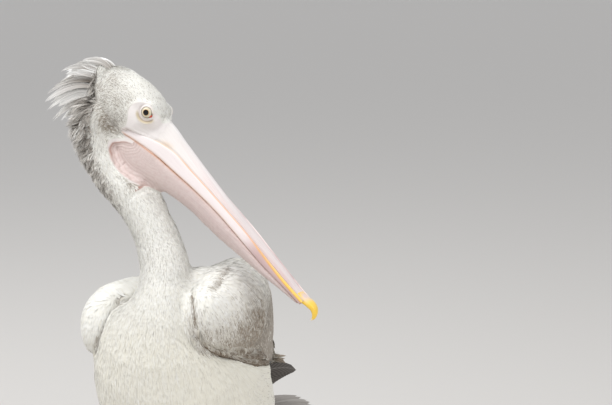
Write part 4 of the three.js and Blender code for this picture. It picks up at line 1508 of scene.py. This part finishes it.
# place of each root on an unwrap of the skin: one island for each part of the body
def unwrapAt(points, tris):
    owner = triOwner[tris]
    out = np.zeros((len(points), 2))
    for index, name in enumerate(ownerNames):
        mine = owner == index
        if not mine.any():
            continue
        whole = skinPoints[skinOwner == index]
        centre = whole.mean(0)
        axis = np.linalg.svd((whole - centre)[::7], full_matrices=False)[2][0]
        side = unit(np.cross(axis, [0.31, 0.17, 0.93]))
        other = np.cross(axis, side)
        reach = (whole - centre) @ axis
        rel = points[mine] - centre
        v = (rel @ axis - reach.min()) / (reach.max() - reach.min())
        u = np.arctan2(rel @ other, rel @ side) / (2 * math.pi) + 0.5
        v = np.clip(v, 0, 1)
        out[mine] = np.stack([(index % 4 + 0.02 + 0.94 * u) / 4, (index // 4 + 0.02 + 0.94 * v) / 2], 1)
    return out


plumeColours = {"white": (0.87, 0.865, 0.83), "cream": (0.80, 0.77, 0.67), "brown": (0.22, 0.17, 0.12),
                "black": (0.040, 0.032, 0.026), "edge": (0.13, 0.092, 0.058)}
plumeFinishes = {  # pale, second and dark colour, how far the dark fades towards the tip, and sheen
    "plumage": (plumeColours["white"], plumeColours["cream"], plumeColours["brown"], 0.3, 0.15),
    "maneDown": ((0.84, 0.82, 0.78), (0.60, 0.56, 0.50), (0.075, 0.048, 0.028), 0.55, 0.1),
    # the crest's pale colours are lighter than the body's white, painted light for the glow through the thin
    # plumes; its dark, fading out towards the tips, is partly painted shade at the bases of the locks
    "crestPlume": ((0.97, 0.965, 0.945), (0.92, 0.91, 0.88), (0.20, 0.135, 0.08), 0.98, 0.2),
    "flightQuill": ((0.50, 0.47, 0.43), (0.34, 0.31, 0.28), plumeColours["black"], 0.12, 0.0),
    "covertEdge": (plumeColours["white"], plumeColours["cream"], plumeColours["edge"], -0.95, 0.05),
}


def makePlumeGroup():  # colour of one feather from its own numbers
    group, given, out = openGroup(
        "plumeColour",
        [("Along", "NodeSocketFloat", 0.5), ("Across", "NodeSocketFloat", 0.0),
         ("Shade", "NodeSocketFloat", 0.5),
         ("Tone", "NodeSocketFloat", 0.0), ("Streak", "NodeSocketFloat", 0.0),
         ("Tip Fade", "NodeSocketFloat", 0.5),
         ("Light", "NodeSocketColor", plumeColours["white"]),
         ("Second", "NodeSocketColor", plumeColours["cream"]),
         ("Dark", "NodeSocketColor", plumeColours["brown"])],
        [("Color", "NodeSocketColor"), ("Barbs", "NodeSocketFloat")])
    body = blendColour(group, given["Shade"], given["Light"], given["Second"])
    side = maths(group, "ABSOLUTE", given["Across"])
    slant = maths(group, "SUBTRACT", maths(group, "MULTIPLY", given["Along"], 60.0),
                  maths(group, "MULTIPLY", side, 14.0))
    barbs = maths(group, "SINE", maths(group, "ADD", slant, maths(group, "MULTIPLY", given["Shade"], 20.0)))
    fall = maths(group, "MULTIPLY", given["Along"], given["Tip Fade"])
    tone = maths(group, "MULTIPLY", given["Tone"], maths(group, "SUBTRACT", 1.0, fall))
    centre = maths(group, "MULTIPLY", between(group, side, 0.75, 0.1),
                   between(group, given["Along"], 0.25, 0.6))
    streak = maths(group, "MULTIPLY", given["Streak"], centre)
    tone = maths(group, "ADD", tone, streak, True)
    ribbed = maths(group, "ADD", maths(group, "MULTIPLY", barbs, 0.08), 1.0)
    tone = maths(group, "MULTIPLY", tone, ribbed, True)
    body = blendColour(group, tone, body, given["Dark"])
    shaft = between(group, side, 0.16, 0.04, 0.0, 0.3)
    body = blendColour(group, maths(group, "MULTIPLY", shaft, 0.5), body, given["Light"])
    link(group, body, out["Color"])
    link(group, maths(group, "ADD", maths(group, "MULTIPLY", barbs, 0.5), shaft), out["Barbs"])
    return group


plumeGroup = makePlumeGroup()


def makePlumeMaterial(name):
    light, second, dark, tipFade, sheen = plumeFinishes[name]
    made, tree, shader = newMaterial(name, Roughness=0.82, Specular_IOR_Level=0.25, Sheen_Weight=sheen,
                                     Sheen_Roughness=0.6)
    plume = useGroup(tree, plumeGroup, {
        "Along": painted(tree, "along"), "Across": painted(tree, "across"), "Shade": painted(tree, "shade"),
        "Tone": painted(tree, "tone"), "Streak": painted(tree, "streak"), "Tip Fade": tipFade,
        "Light": light, "Second": second, "Dark": dark})
    link(tree, plume["Color"], shader.inputs["Base Color"])
    bumpInto(tree, shader, plume["Barbs"], 0.2, 0.0003)
    return made


plumeMaterials = {name: makePlumeMaterial(name) for name in plumeFinishes}

leafOutline = ((0, 0.25, 0.5, 0.75, 1.0), (0.35, 0.9, 1.0, 0.8, 0.0))
coatPlans = {
    "headCoat": {"on": ("head", "throat"), "steps": 2, "sway": 0.26, "cup": 0.2, "soft": 0.6, "marks": 1,
                 "fluting": 0, "seed": 11},
    "neckCoat": {"on": ("neck",), "steps": 2, "sway": 0.2, "cup": 0.2, "soft": 0.6, "marks": 0.45,
                 "fluting": 0, "seed": 12},
    "breastCoat": {"on": ("trunk",), "ahead": True, "steps": 3, "sway": 0.045, "cup": 0.04, "soft": 0.95,
                   "marks": 0.3, "fluting": 0, "seed": 13},
    "backCoat": {"on": ("trunk", "thigh"), "ahead": False, "steps": 3, "sway": 0.08, "cup": 0.06,
                 "soft": 0.88, "marks": 0.6, "fluting": 0.3, "seed": 14},
    "leftWingCoat": {"on": ("wing_left",), "steps": 4, "sway": 0.06, "cup": 0.08, "soft": 0.85, "marks": 0.5,
                     "fluting": 1.3, "seed": 15},
    "rightWingCoat": {"on": ("wing_right",), "steps": 4, "sway": 0.06, "cup": 0.07, "soft": 0.9, "marks": 0.2,
                      "fluting": 0.5, "seed": 16},
}


def growCoat(name, plan):
    draw = np.random.default_rng(plan["seed"])
    chosen = np.zeros(len(triArea), bool)
    for part in plan["on"]:
        chosen |= triOwned(part)
    chosen &= triBare < -0.6
    if "ahead" in plan:
        parting = lowOf("trunk", 1) + 0.16
        chosen &= (triMiddle[:, 1] < parting) == plan["ahead"]
    roots, tris = scatter(chosen, triSizes[:, 3], plan["seed"])
    count = len(roots)
    lengths, widths, rise = (triSizes[tris, k] for k in range(3))
    lengths = lengths * draw.uniform(0.8, 1.2, count)
    spines, normals, ways = combSpines(roots, tris, lengths, plan["steps"],
                                       draw.normal(0, plan["sway"], count))
    ends = np.array([skinTree.find_nearest(p)[2] for p in spines[:, -1].tolist()])
    # each feather is coloured by the place it covers
    ends = np.where(triOwner[ends] == triOwner[tris], ends, tris)
    share = np.linspace(0, 1, plan["steps"] + 1)
    rise = rise * draw.uniform(0.8, 1.1, count) * (fade(0.0, 5.0, -triBare[tris]) * 0.7 + 0.3)
    spines = spines + normals * (rise[:, None] * (share ** 0.7)[None] * mm)[..., None]
    clump = 0.5 + 0.62 * ripple(roots, 0.0021, plan["seed"]) + draw.normal(0, 0.12, count)
    marked = clump < triSpeck[ends] * 0.8
    mottle = 1 + 0.45 * ripple(roots, 0.0042, plan["seed"] + 1)
    values = {"shade": np.clip(triWarm[ends] + draw.normal(0, 0.16, count), 0, 1),
              "tone": np.clip(triTone[ends] * mottle * draw.uniform(0.6, 1.25, count), 0, 1),
              "streak": np.clip(marked * draw.uniform(0.4, 1.0, count) * plan["marks"]
                                + plan["fluting"] * triTone[ends] * draw.uniform(0.4, 1.2, count), 0, 1)}
    mesh = buildFeathers(name, spines, normals, ways, widths * draw.uniform(0.8, 1.2, count), leafOutline,
                         3, plan["cup"], values, unwrapAt(roots, tris), plan["soft"])
    print(name, count, "feathers,", len(mesh.polygons), "faces")
    addPiece(name, mesh, plumeMaterials["plumage"])


for coatName, coatPlan in coatPlans.items():
    growCoat(coatName, coatPlan)


# mane: short wavy tufts down the back of the neck
def growMane():
    plan = manePlan
    draw = np.random.default_rng(plan["seed"])
    share = napeShare(triMiddle)
    chosen = (triOwned("neck") | triOwned("head")) & (share > 0.12) & (triBare < -4)
    roots, tris = scatter(chosen * share, plan["spacing"], plan["seed"])
    count = len(roots)
    high = fade(plan["low"], plan["high"], roots[:, 2])
    lengths = plan["length"] * draw.uniform(0.6, 1.25, count) * (0.5 + 0.5 * share[tris]) * (0.7 + 0.9 * high)
    spines, normals, ways = combSpines(roots, tris, lengths, plan["steps"],
                                       draw.normal(0, plan["sway"], count))
    steps = np.linspace(0, 1, plan["steps"] + 1)
    rise = plan["rise"] * draw.uniform(0.5, 1.25, count) * (0.3 + 0.7 * share[tris]) * (0.55 + 1.5 * high)
    spines = spines + normals * (rise[:, None] * steps[None] ** 1.1 * mm)[..., None]
    sideways = unit(np.cross(normals, ways))
    wave = np.sin(steps[None] * 7.0 + draw.uniform(0, 6.28, count)[:, None]) * steps[None] * 1.3 * mm
    spines = spines + sideways * wave[..., None]
    leaders = draw.choice(count, max(1, count // plan["tuft"]), replace=False)
    tree = KDTree(len(leaders))
    for place, leader in enumerate(leaders):
        tree.insert(roots[leader], place)
    tree.balance()
    led = np.array([tree.find(root)[1] for root in roots])
    spines = spines + (spines[leaders[led]] - spines) * (plan["gather"] * steps[None] ** 1.6)[..., None]
    tuftTone = np.where(draw.random(len(leaders)) < plan["pale"], 0.1, 0.85)[led]
    values = {"shade": draw.random(count), "tone": np.clip(tuftTone + draw.normal(0, 0.12, count), 0.05, 1),
              "streak": np.zeros(count)}
    widths = plan["width"] * draw.uniform(0.7, 1.2, count)
    mesh = buildFeathers("mane", spines, normals, ways, widths, leafOutline, 3, 0.4, values,
                         unwrapAt(roots, tris))
    addPiece("mane", mesh, plumeMaterials["maneDown"], ("mane",))


growMane()

# crest: long soft plumes from the hind crown, arching back and drooping, each a lock of narrow strands
crestPlan = {
    "roots": [(-84, -12), (-90, -19), (-92, -31), (-88, -44), (-82, -56), (-75, -69)],
    "middles": [(-112, -24), (-122, -47), (-121, -66), (-112, -81), (-99, -94), (-86, -106)],
    "tips": [(-128, -55), (-137, -89), (-132, -113), (-117, -130), (-99, -138), (-80, -144)],
    "locks": 54, "strands": 8, "rootSpread": 15.0, "tipSpread": 14.0, "lockWidth": 7.4, "width": 2.2,
    "knots": 12, "shadedLocks": 0.34, "shadedTone": 0.62, "seed": 22,
}
plumeOutline = ((0, 0.12, 0.35, 0.6, 0.82, 0.94, 1.0), (0.4, 0.7, 1.0, 1.0, 0.8, 0.5, 0.0))


def growCrest():
    plan = crestPlan
    draw = np.random.default_rng(plan["seed"])
    locks, strands, knots = plan["locks"], plan["strands"], plan["knots"]
    share = np.clip(np.linspace(0, 1, locks) + draw.normal(0, 0.03, locks), 0, 1)
    pick = (share * 199).astype(int)
    root, middle, tip = (throughPoints(plan[key], 200)[pick] for key in ("roots", "middles", "tips"))
    reach = 1.0 - 0.68 * draw.random(locks) ** 1.6
    lane = draw.permutation(np.linspace(-1, 1, locks))
    root, middle, tip, share, reach, lane = (
        np.repeat(v, strands, axis=0) for v in (root, middle, tip, share, reach, lane))
    count = locks * strands
    place = np.tile(np.linspace(-1, 1, strands), locks)
    reach = reach * draw.uniform(0.82, 1.0, count)
    u = np.linspace(0, 1, knots)[None, :] * reach[:, None]
    bend = 2 * middle - (root + tip) / 2
    u3 = u[..., None]
    flat = root[:, None] * (1 - u3) ** 2 + bend[:, None] * 2 * u3 * (1 - u3) + tip[:, None] * u3 * u3
    ahead = unit(np.gradient(flat, axis=1))
    flatSide = np.stack([ahead[..., 1], -ahead[..., 0]], -1)
    own = np.linspace(0, 1, knots)[None, :]
    swell = plan["lockWidth"] / 2 * (0.5 + 0.7 * np.sin(own * math.pi * 0.75)) * fade(1.25, 0.6, own)
    aside = place[:, None] * swell * 0.8 + draw.normal(0, 0.5, count)[:, None] * own
    flat = flat + flatSide * aside[..., None]
    y = lane[:, None] * (plan["rootSpread"] + (plan["tipSpread"] - plan["rootSpread"]) * own)
    y = y + place[:, None] * swell * 0.5 + draw.normal(0, 1.0, count)[:, None] * own
    path = fromHead(np.stack([flat[..., 0], y, flat[..., 1]], -1).reshape(-1, 3)).reshape(count, knots, 3)
    ways = unit(np.gradient(path, axis=1))
    outward = np.stack([-flatSide[..., 0], 0 * y, -flatSide[..., 1]], -1).reshape(-1, 3)
    outward = unit((fromHead(outward) - headMiddle).reshape(count, knots, 3))
    facing = unit(headLeft * (lane[:, None, None] * 0.9 + np.sign(lane)[:, None, None] * 0.3) + outward * 0.5
                  + unit(draw.normal(size=(count, 1, 3))) * 0.3)
    side = unit(np.cross(facing, ways))
    normals = unit(np.cross(ways, side))
    shade = draw.random(count)
    # some locks are dark and the shorter and lower locks darker still: partly the plumes' brownish colour,
    # partly painted shade between and under the locks
    lockShade = draw.choice((0.0, plan["shadedTone"]), locks, p=(1 - plan["shadedLocks"], plan["shadedLocks"]))
    tone = np.repeat(lockShade, strands) + 0.35 * (0.75 - reach) + 0.15 * fade(0.25, 0.55, share)
    tone = np.clip(tone + draw.normal(0, 0.13, count), 0.02, 1)
    values = {"shade": shade, "tone": tone, "streak": np.zeros(count)}
    patches = np.stack([0.03 + 0.9 * share, 0.5 + 0.4 * lane], 1)
    widths = plan["width"] * draw.uniform(0.6, 1.1, count)
    mesh = buildFeathers("crest", path, normals, ways, widths, plumeOutline, 3, 0.3, values, patches, 0.5)
    addPiece("crest", mesh, plumeMaterials["crestPlume"], ("crest",))


growCrest()
print("crest and mane done")

# quills: stiff vanes of wing and tail, each a curved blade with a shaft
vaneOutline = ((0, 0.08, 0.3, 0.7, 0.9, 1.0), (0.25, 0.7, 1.0, 1.0, 0.7, 0.0))


def layQuills(name, starts, ends, facing, widths, bow, values, finish, stands, columns=5, knots=8):
    count = len(starts)
    u = np.linspace(0, 1, knots)[None, :, None]
    path = starts[:, None] * (1 - u) + ends[:, None] * u + bow[:, None] * (4 * u * (1 - u))
    ways = unit(np.gradient(path, axis=1))
    normals = unit(np.cross(ways, unit(np.cross(facing[:, None], ways))))
    patches = np.stack([0.05 + 0.9 * np.linspace(0, 1, count), np.full(count, 0.4)], 1)
    mesh = buildFeathers(name, path, normals, ways, widths, vaneOutline, columns, 0.16, values, patches)
    addPiece(name, mesh, plumeMaterials[finish], stands)


def quillValues(count, draw, tone, spread):
    return {"shade": draw.random(count), "tone": np.clip(draw.normal(tone, spread, count), 0, 1),
            "streak": np.zeros(count)}


tailPlan = {"count": 20, "width": 19.0, "seed": 41, "tone": 0.45}


def growTail():
    draw = np.random.default_rng(tailPlan["seed"])
    low, high = (np.array(c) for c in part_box("tail"))
    middle = (low + high) / 2
    count = tailPlan["count"]
    lane = np.linspace(-1, 1, count)
    layer = np.abs(lane)
    starts = np.stack([middle[0] + lane * 0.022, np.full(count, low[1] + 0.005),
                       high[2] - 0.012 - 0.004 * layer], 1)
    reach = highOf("tail", 1) - low[1] - 0.012
    ends = np.stack([middle[0] + lane * (high[0] - low[0]) * 0.40, low[1] + reach * (1 - 0.16 * layer ** 2),
                     low[2] + 0.006 + 0.004 * (1 - layer)], 1)
    ends = ends + draw.normal(0, 0.001, (count, 3))
    bow = np.stack([np.zeros(count), np.zeros(count), np.full(count, 0.004)], 1)
    facing = unit(np.stack([lane * 0.35, np.zeros(count), np.ones(count)], 1))
    layQuills("tail", starts, ends, facing, np.full(count, tailPlan["width"]), bow,
              quillValues(count, draw, tailPlan["tone"], 0.06), "flightQuill", ("tail",))


primaryPlan = {"count": 10, "width": 17.0, "seed": 42, "tone": 0.92}


def growPrimaries(side, sign):
    draw = np.random.default_rng(primaryPlan["seed"])
    low, high = (np.array(c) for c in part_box("primaries_" + side))
    count = primaryPlan["count"]
    share = np.linspace(0, 1, count)
    outer = high[0] if sign > 0 else low[0]
    inner = low[0] if sign > 0 else high[0]
    starts = np.stack([outer + (inner - outer) * (0.15 + 0.25 * share), low[1] - 0.02 + 0.03 * share,
                       high[2] - 0.012 - 0.035 * share], 1)
    ends = np.stack([inner + (outer - inner) * 0.12 * share, high[1] - 0.004 - 0.10 * share ** 1.2,
                     low[2] + 0.012 + 0.012 * share], 1)
    bow = np.stack([np.full(count, 0.004 * sign), np.zeros(count), np.full(count, 0.006)], 1)
    facing = unit(np.tile([sign * 1.0, 0.0, 0.35], (count, 1)))
    layQuills("primaries_" + side, starts, ends, facing, np.full(count, primaryPlan["width"]), bow,
              quillValues(count, draw, primaryPlan["tone"], 0.04), "flightQuill",
              ("primaries_" + side,))


# lower edge of the left wing: overlapping covert vanes with dark ends hanging over the flank
# each row: how far above the edge it ends, vanes, share of the edge where it starts, dark or not
# the first row is dark and lies lowest, close on the flank: painted shadow under the wing's edge, scalloped
# like the dark covert ends
marginPlan = {
    "rows": ((-2.0, 84, 0.32, True), (0.0, 80, 0.22, False), (8.0, 74, 0.30, False), (16.0, 66, 0.36, False)),
    "length": (9.0, 26.0), "width": (4.2, 7.5), "seed": 51,
}


def onSkin(place):  # nearest place of the skin, and its triangle
    found = skinTree.find_nearest(place.tolist())
    return np.array(found[0]), found[2]


def growMargin():
    plan = marginPlan
    draw = np.random.default_rng(plan["seed"])
    edge = throughPoints(foldLines["leftWing"]["path"], 400) * mm
    starts, ends, facing, widths, share = [], [], [], [], []
    for lift, count, first, dark in plan["rows"]:
        for u in np.linspace(first, 1.0, count) + draw.normal(0, 0.002, count):
            u = min(max(u, 0.0), 1.0)
            tip = edge[int(u * 399)] + np.array([0, 0, lift * (0.4 + 0.6 * u) * mm])
            place, tri = onSkin(tip)
            length = np.interp(u, (0, 1), plan["length"]) * draw.uniform(0.9, 1.1) * mm
            root, rootTri = onSkin(place - triFlow[tri] * length)
            outward = triNormal[tri]
            if lift > 0:
                tip = place + outward * (0.6 + 1.6 * u) * mm
            starts.append(root + triNormal[rootTri] * 0.3 * mm)
            ends.append(tip + outward * (0.1 if dark else 0.3 + 0.9 * u) * mm)
            facing.append(outward)
            widths.append(np.interp(u, (0, 1), plan["width"]))
            # the dark row's full tone is painted shadow under the wing's edge
            share.append(1.0 if dark else 0.22 + 0.34 * u)
    starts, ends, facing, widths, share = (np.array(v) for v in (starts, ends, facing, widths, share))
    count = len(starts)
    bow = facing * (1.0 * mm)
    values = {"shade": draw.uniform(0.4, 1.0, count), "streak": 0.35 * draw.random(count),
              "tone": np.clip(share + draw.normal(0, 0.06, count), 0.03, 1)}
    layQuills("covertEdge", starts, ends, facing, widths * draw.uniform(0.85, 1.15, count), bow, values,
              "covertEdge", ())


growMargin()
growTail()
for side, sign in eyeSides.items():
    growPrimaries(side, sign)
print("tail and primaries done")

# legs: scaled skin over shank and webbed foot
legPlan = {"voxel": 1.25, "grow": 0.3, "relaxRounds": 3}
legColours = {"base": (0.34, 0.30, 0.26), "dark": (0.17, 0.145, 0.125), "web": (0.40, 0.34, 0.29),
              "claw": (0.030, 0.026, 0.024), "clawWear": (0.10, 0.085, 0.07)}


def makeLegMaterial():
    made, tree, shader = newMaterial("legSkin", Roughness=0.55, Specular_IOR_Level=0.4)
    cells = addNode(tree, "ShaderNodeTexVoronoi", {"Scale": 330.0}, feature="DISTANCE_TO_EDGE")
    spot = addNode(tree, "ShaderNodeTexCoord")
    link(tree, spot.outputs["Object"], cells.inputs["Vector"])
    groove = between(tree, cells.outputs["Distance"], 0.0, 0.09)
    mottle = useGroup(tree, grainGroup, {"Scale": 90.0, "Stretch": 1.0, "Detail": 3.0})["Value"]
    colour = blendColour(tree, mottle, legColours["base"], legColours["web"])
    colour = blendColour(tree, maths(tree, "SUBTRACT", 1.0, groove), colour, legColours["dark"])
    link(tree, colour, shader.inputs["Base Color"])
    bumpInto(tree, shader, groove, 0.6, 0.0007)
    return made


def makeClawMaterial():
    made, tree, shader = newMaterial("clawHorn", Roughness=0.35, Specular_IOR_Level=0.5)
    grain = useGroup(tree, grainGroup, {"Scale": 300.0, "Stretch": 4.0, "Detail": 2.0})["Value"]
    colour = blendColour(tree, grain, legColours["claw"], legColours["clawWear"])
    link(tree, colour, shader.inputs["Base Color"])
    return made


legMaterial, clawMaterial = makeLegMaterial(), makeClawMaterial()
for side in eyeSides:
    parts = [grown(node + "_" + side, legPlan["grow"]) for node in ("shank", "foot")]
    legMesh = biggestIsland(voxelShell("legs_" + side, parts, legPlan["voxel"]))
    legPoints = smoothShape(meshPoints(legMesh), meshEdges(legMesh), legPlan["relaxRounds"])
    legPoints[:, 2] = np.maximum(legPoints[:, 2], 0.0)
    legMesh.vertices.foreach_set("co", legPoints.astype(np.float32).ravel())
    addPiece("leg_" + side, legMesh, legMaterial, ("shank_" + side, "foot_" + side))
    for number in range(1, 5):
        node = "claw_" + side + "_" + str(number)
        points, tris = nodeMesh(node)
        clawMesh = meshFrom(node, points, tris)
        addPiece(node, clawMesh, clawMaterial, (node,))
print("legs done")

# the stage: floor, soft light, camera; the camera stands "distance", "aside" and "above" from the middle of
# the solids, and each lamp has its place, size and power
stagePlan = {
    "floor": 60.0, "floorColour": (0.62, 0.60, 0.57),
    "azimuth": 23.0, "elevation": 9.0, "distance": 2.153011, "aside": 0.108297, "above": 0.150988,
    "lens": 85.0,
    "lamps": {"key": ((-1.0, -1.3, 3.0), 2.2, 74.0), "fill": ((2.2, -1.2, 1.4), 2.0, 20.0)},
    "lampAim": (0, -0.05, 0.4), "sky": 0.72, "skyColour": (0.95, 0.965, 1.0),
}


def buildStage():
    scene = bpy.context.scene
    half = stagePlan["floor"]
    flat = [(-half, -half, 0), (half, -half, 0), (half, half, 0), (-half, half, 0)]
    floor = bpy.data.objects.new("floor", meshFrom("floor", flat, np.array([[0, 1, 2, 3]])))
    scene.collection.objects.link(floor)
    paper, tree, shader = newMaterial("palePaper", Roughness=0.9)
    shader.inputs["Base Color"].default_value = (*stagePlan["floorColour"], 1)
    floor.data.materials.append(paper)
    azimuth, elevation = (math.radians(stagePlan[k]) for k in ("azimuth", "elevation"))
    look = np.array([-math.sin(azimuth) * math.cos(elevation), math.cos(azimuth) * math.cos(elevation),
                     -math.sin(elevation)])
    eye = bpy.data.cameras.new("camera")
    eye.lens = stagePlan["lens"]
    eye.sensor_width = 36
    camera = bpy.data.objects.new("camera", eye)
    scene.collection.objects.link(camera)
    middle = (np.array(cadBox[0]) + np.array(cadBox[1])) / 2
    across = np.array([math.cos(azimuth), math.sin(azimuth), 0.0])
    camera.location = Vector(middle - look * stagePlan["distance"] + across * stagePlan["aside"]
                             + np.cross(across, look) * stagePlan["above"])
    camera.rotation_euler = Vector(look).to_track_quat("-Z", "Y").to_euler()
    scene.camera = camera
    for name, (spot, size, power) in stagePlan["lamps"].items():
        lamp = bpy.data.lights.new(name, "AREA")
        lamp.size = size
        lamp.energy = power
        holder = bpy.data.objects.new(name, lamp)
        holder.location = spot
        holder.rotation_euler = (Vector(stagePlan["lampAim"]) - Vector(spot)).to_track_quat("-Z",
                                                                                            "Y").to_euler()
        scene.collection.objects.link(holder)
    world = bpy.data.worlds.new("sky")
    world.use_nodes = True
    light = world.node_tree.nodes["Background"].inputs
    light["Color"].default_value = (*stagePlan["skyColour"], 1)
    light["Strength"].default_value = stagePlan["sky"]
    scene.world = world
    scene.view_settings.view_transform = "Standard"


buildStage()
